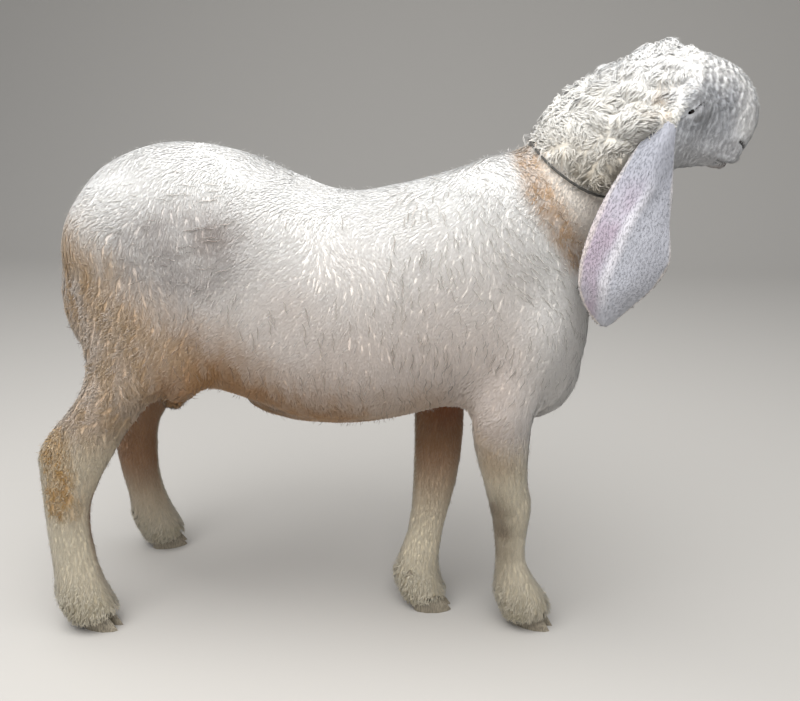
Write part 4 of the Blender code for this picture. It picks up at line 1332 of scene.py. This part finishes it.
# Twisted black polyester cord: dull, with dust on its high strands
CORD = mottled_material(
    "black_polyester_cord",
    0.002,
    (0.4, "#15130f"),
    (0.8, "#4a443a"),
    Roughness=0.6,
    IOR=1.5,
    Sheen_Weight=0.2,
)


# The skin of body, lids and ears

body = make_skin()
face_count = len(body.verts)
for side in SIDES:
    add_lids(body, side)
body_count = len(body.verts)
skin = object_from("skin", body)
ears = with_modifier(merged_copy(EARS), "SUBSURF", levels=2, render_levels=2)
push_out(ears, ear_form(own(coordinates(ears)), vertex_normals(ears)))
ear_object = object_from("ears", ears)
with bpy.context.temp_override(active_object=skin, selected_editable_objects=[skin, ear_object]):
    bpy.ops.object.join()
smooth(skin.data)
unwrap(skin)
surface = skin_arrays(skin.data)
here = own(surface.places)
where = regions(here)
order = np.arange(len(here))
on_ear = order >= body_count
on_body = ~on_ear
in_socket = (from_eye(here) < 0.0185) & (order < face_count)
tones = np.where(on_ear[:, None], ear_markings(here), markings(here, surface.facing))
# The skin of the socket behind the lids is painted dark, as shade seen through the slit.
tones[in_socket] = SLIT_SHADE
# The skin under wool is painted a little darker, as shade under the locks.
under_wool = np.clip(where.fleece + where.mane + where.leg, 0, 1) * on_body
paint(skin.data, tones * (1 - 0.05 * under_wool)[:, None])
finished(skin, HIDE, "fleece", *FLESH, *EARS)


# The coat

x, y, z = here.T
RUMP_END = -0.27
LOIN_END = 0.02
CHEST_START = 0.20
FLANK_TOP = 0.64
CAP_START = 0.50
above = z > FLANK_TOP
flank = (x > RUMP_END) & (x < CHEST_START) & ~above
fleece_density = where.fleece * on_body * FLEECE_ROOTS
fleece_parts = {
    "fleece_rump": x <= RUMP_END,
    "fleece_loin": (x > RUMP_END) & (x <= LOIN_END) & above,
    "fleece_flank_right": flank & (y < 0),
    "fleece_flank_left": flank & (y >= 0),
    "fleece_withers": (x > LOIN_END) & above,
    "fleece_chest": (x >= CHEST_START) & ~above,
}
for seed, (name, inside) in enumerate(fleece_parts.items(), 100):
    finished(grow_fleece(name, surface, fleece_density * inside, seed), FLEECE, "fleece")
cracks_wanted = where.fleece * on_body * crack_density(here)
finished(grow_crack_shade("fleece_crack_shade", surface, cracks_wanted, 110), FLEECE, "fleece")

leg_density = where.leg * (np.abs(z - 0.2) < 0.24) * on_body * LEG_ROOTS
leg_parts = {"leg_wool_fore": x > 0, "leg_wool_hind": x <= 0}
for seed, (name, inside) in enumerate(leg_parts.items(), 120):
    finished(grow_leg_hair(name, surface, leg_density * inside, seed), HAIR, "fleece")

# No hair grows in the slit of the lids.
off_slit = here[:, [0, 2]] - (EYE_X - SLIT_BACK - 0.0005, EYE_Z)
clear_of_slit = ramp(np.linalg.norm(off_slit / (0.0090, 0.0060), axis=1), 0.85, 1.15)
face_density = where.face * FACE_ROOTS * on_body * clear_of_slit * ~in_socket
finished(grow_flat_hair("face_hair", surface, face_density, 130, markings, **FACE_HAIR), HAIR, "face_hair")
finished(grow_crease_shade_lines("crease_shade_lines", surface), HAIR, "face_hair")
neck_density = where.bare * BARE_ROOTS * on_body
finished(grow_flat_hair("neck_hair", surface, neck_density, 131, markings, **NECK_HAIR), HAIR, "fleece")
ear_density = on_ear * (1 - ear_root(here)) * EAR_ROOTS
ear_hair = grow_flat_hair(
    "ear_hair", surface, ear_density, 132, lambda p, facing: ear_markings(p), **EAR_HAIR
)
finished(ear_hair, HAIR, "ear_skin")

mane_share = np.where(on_ear, ear_root(here), where.mane) * (1 + 0.7 * blob(mirrored(here), *EAR_THICKET))
mane_density = mane_share * MANE_ROOTS * ramp(from_eye(here), 0.0135, 0.0185) * ~in_socket
mane_parts = {
    "wool_cap": x > CAP_START,
    "wool_neck_right": (x <= CAP_START) & (y < 0),
    "wool_neck_left": (x <= CAP_START) & (y >= 0),
}
for seed, (name, inside) in enumerate(mane_parts.items(), 140):
    finished(grow_mane(name, surface, mane_density * inside, seed), MANE_WOOL, "fleece")
stained = near_line(here, NECK_STAIN, 0.030) * (1 - where.mane) * on_body
stained_density = np.clip(1.5 * stained, 0, 1) * STAINED_ROOTS
stained_curls = grow_mane("stained_curls", surface, stained_density, 150, scale=STAINED_SCALE)
finished(stained_curls, MANE_WOOL, "fleece")


# Hooves, eyes and cord

horn_nodes = [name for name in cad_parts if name.startswith(("claw", "dewclaw"))]
worn_edge = {"width": 0.0022, "segments": 3, "limit_method": "ANGLE", "angle_limit": math.radians(25)}
claws = object_from("claws", with_modifier(merged_copy(horn_nodes), "BEVEL", **worn_edge))
smooth(claws.data)
unwrap(claws)
finished(claws, HORN, "horn", *horn_nodes)

for name, material in (("eye_right", EYE), ("eye_left", EYE), ("neck_cord", CORD)):
    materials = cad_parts[name].data.materials
    materials.clear()
    materials.append(material)


# Studio: a plain pale floor that sweeps up behind, a soft light from above and a weak even fill

FLOOR_REACH = 9.0
SWEEP_START = 3.0
SWEEP_RADIUS = 2.0
SWEEP_STEPS = 24
WALL_TOP = 6.0
bends = [math.pi / 2 * i / SWEEP_STEPS for i in range(SWEEP_STEPS + 1)]
profile = [(-FLOOR_REACH, 0.0)]
profile += [(SWEEP_START + SWEEP_RADIUS * math.sin(a), SWEEP_RADIUS * (1 - math.cos(a))) for a in bends]
profile.append((SWEEP_START + SWEEP_RADIUS, WALL_TOP))
floor_points = [(across, back, up) for back, up in profile for across in (-FLOOR_REACH, FLOOR_REACH)]
floor_faces = [(2 * i, 2 * i + 1, 2 * i + 3, 2 * i + 2) for i in range(len(profile) - 1)]
floor_mesh = bpy.data.meshes.new("floor")
floor_mesh.from_pydata(floor_points, [], floor_faces)
smooth(floor_mesh)
floor = new_object("floor", floor_mesh)
floor_material, floor_shader = make_material("plain_pale_floor", Roughness=0.9)
floor_shader.inputs["Base Color"].default_value = (*linear("#b3b0ab"), 1)
floor_mesh.materials.append(floor_material)


def area_light(name, place, size, watts):
    """A soft square light that shines on the middle of the ram."""
    data = bpy.data.lights.new(name, "AREA")
    data.size = size
    data.energy = watts
    lamp = new_object(name, data)
    lamp.location = place
    lamp.rotation_euler = (Vector((0, 0, 0.5)) - Vector(place)).to_track_quat("-Z", "Y").to_euler()


area_light("sky_light", (-0.3, -0.95, 3.1), 3.4, 200)
area_light("front_fill", (0.8, -3.2, 1.6), 2.5, 3)
world = bpy.data.worlds.new("studio")
bpy.context.scene.world = world
world.use_nodes = True
background = world.node_tree.nodes["Background"]
background.inputs["Color"].default_value = (*linear("#e4e6ea"), 1)
background.inputs["Strength"].default_value = 0.50

CAMERA_PLACE = Vector((0.300, -1.390, 0.970))
CAMERA_TILT = math.radians(72)
CAMERA_TURN = math.radians(6)
camera_data = bpy.data.cameras.new("camera")
camera_data.lens = 37.94
camera_data.sensor_width = 36
camera = new_object("camera", camera_data)
camera.location = CAMERA_PLACE + ORIGIN
camera.rotation_euler = (CAMERA_TILT, 0, CAMERA_TURN)
bpy.context.scene.camera = camera
bpy.context.scene.view_settings.view_transform = "Standard"
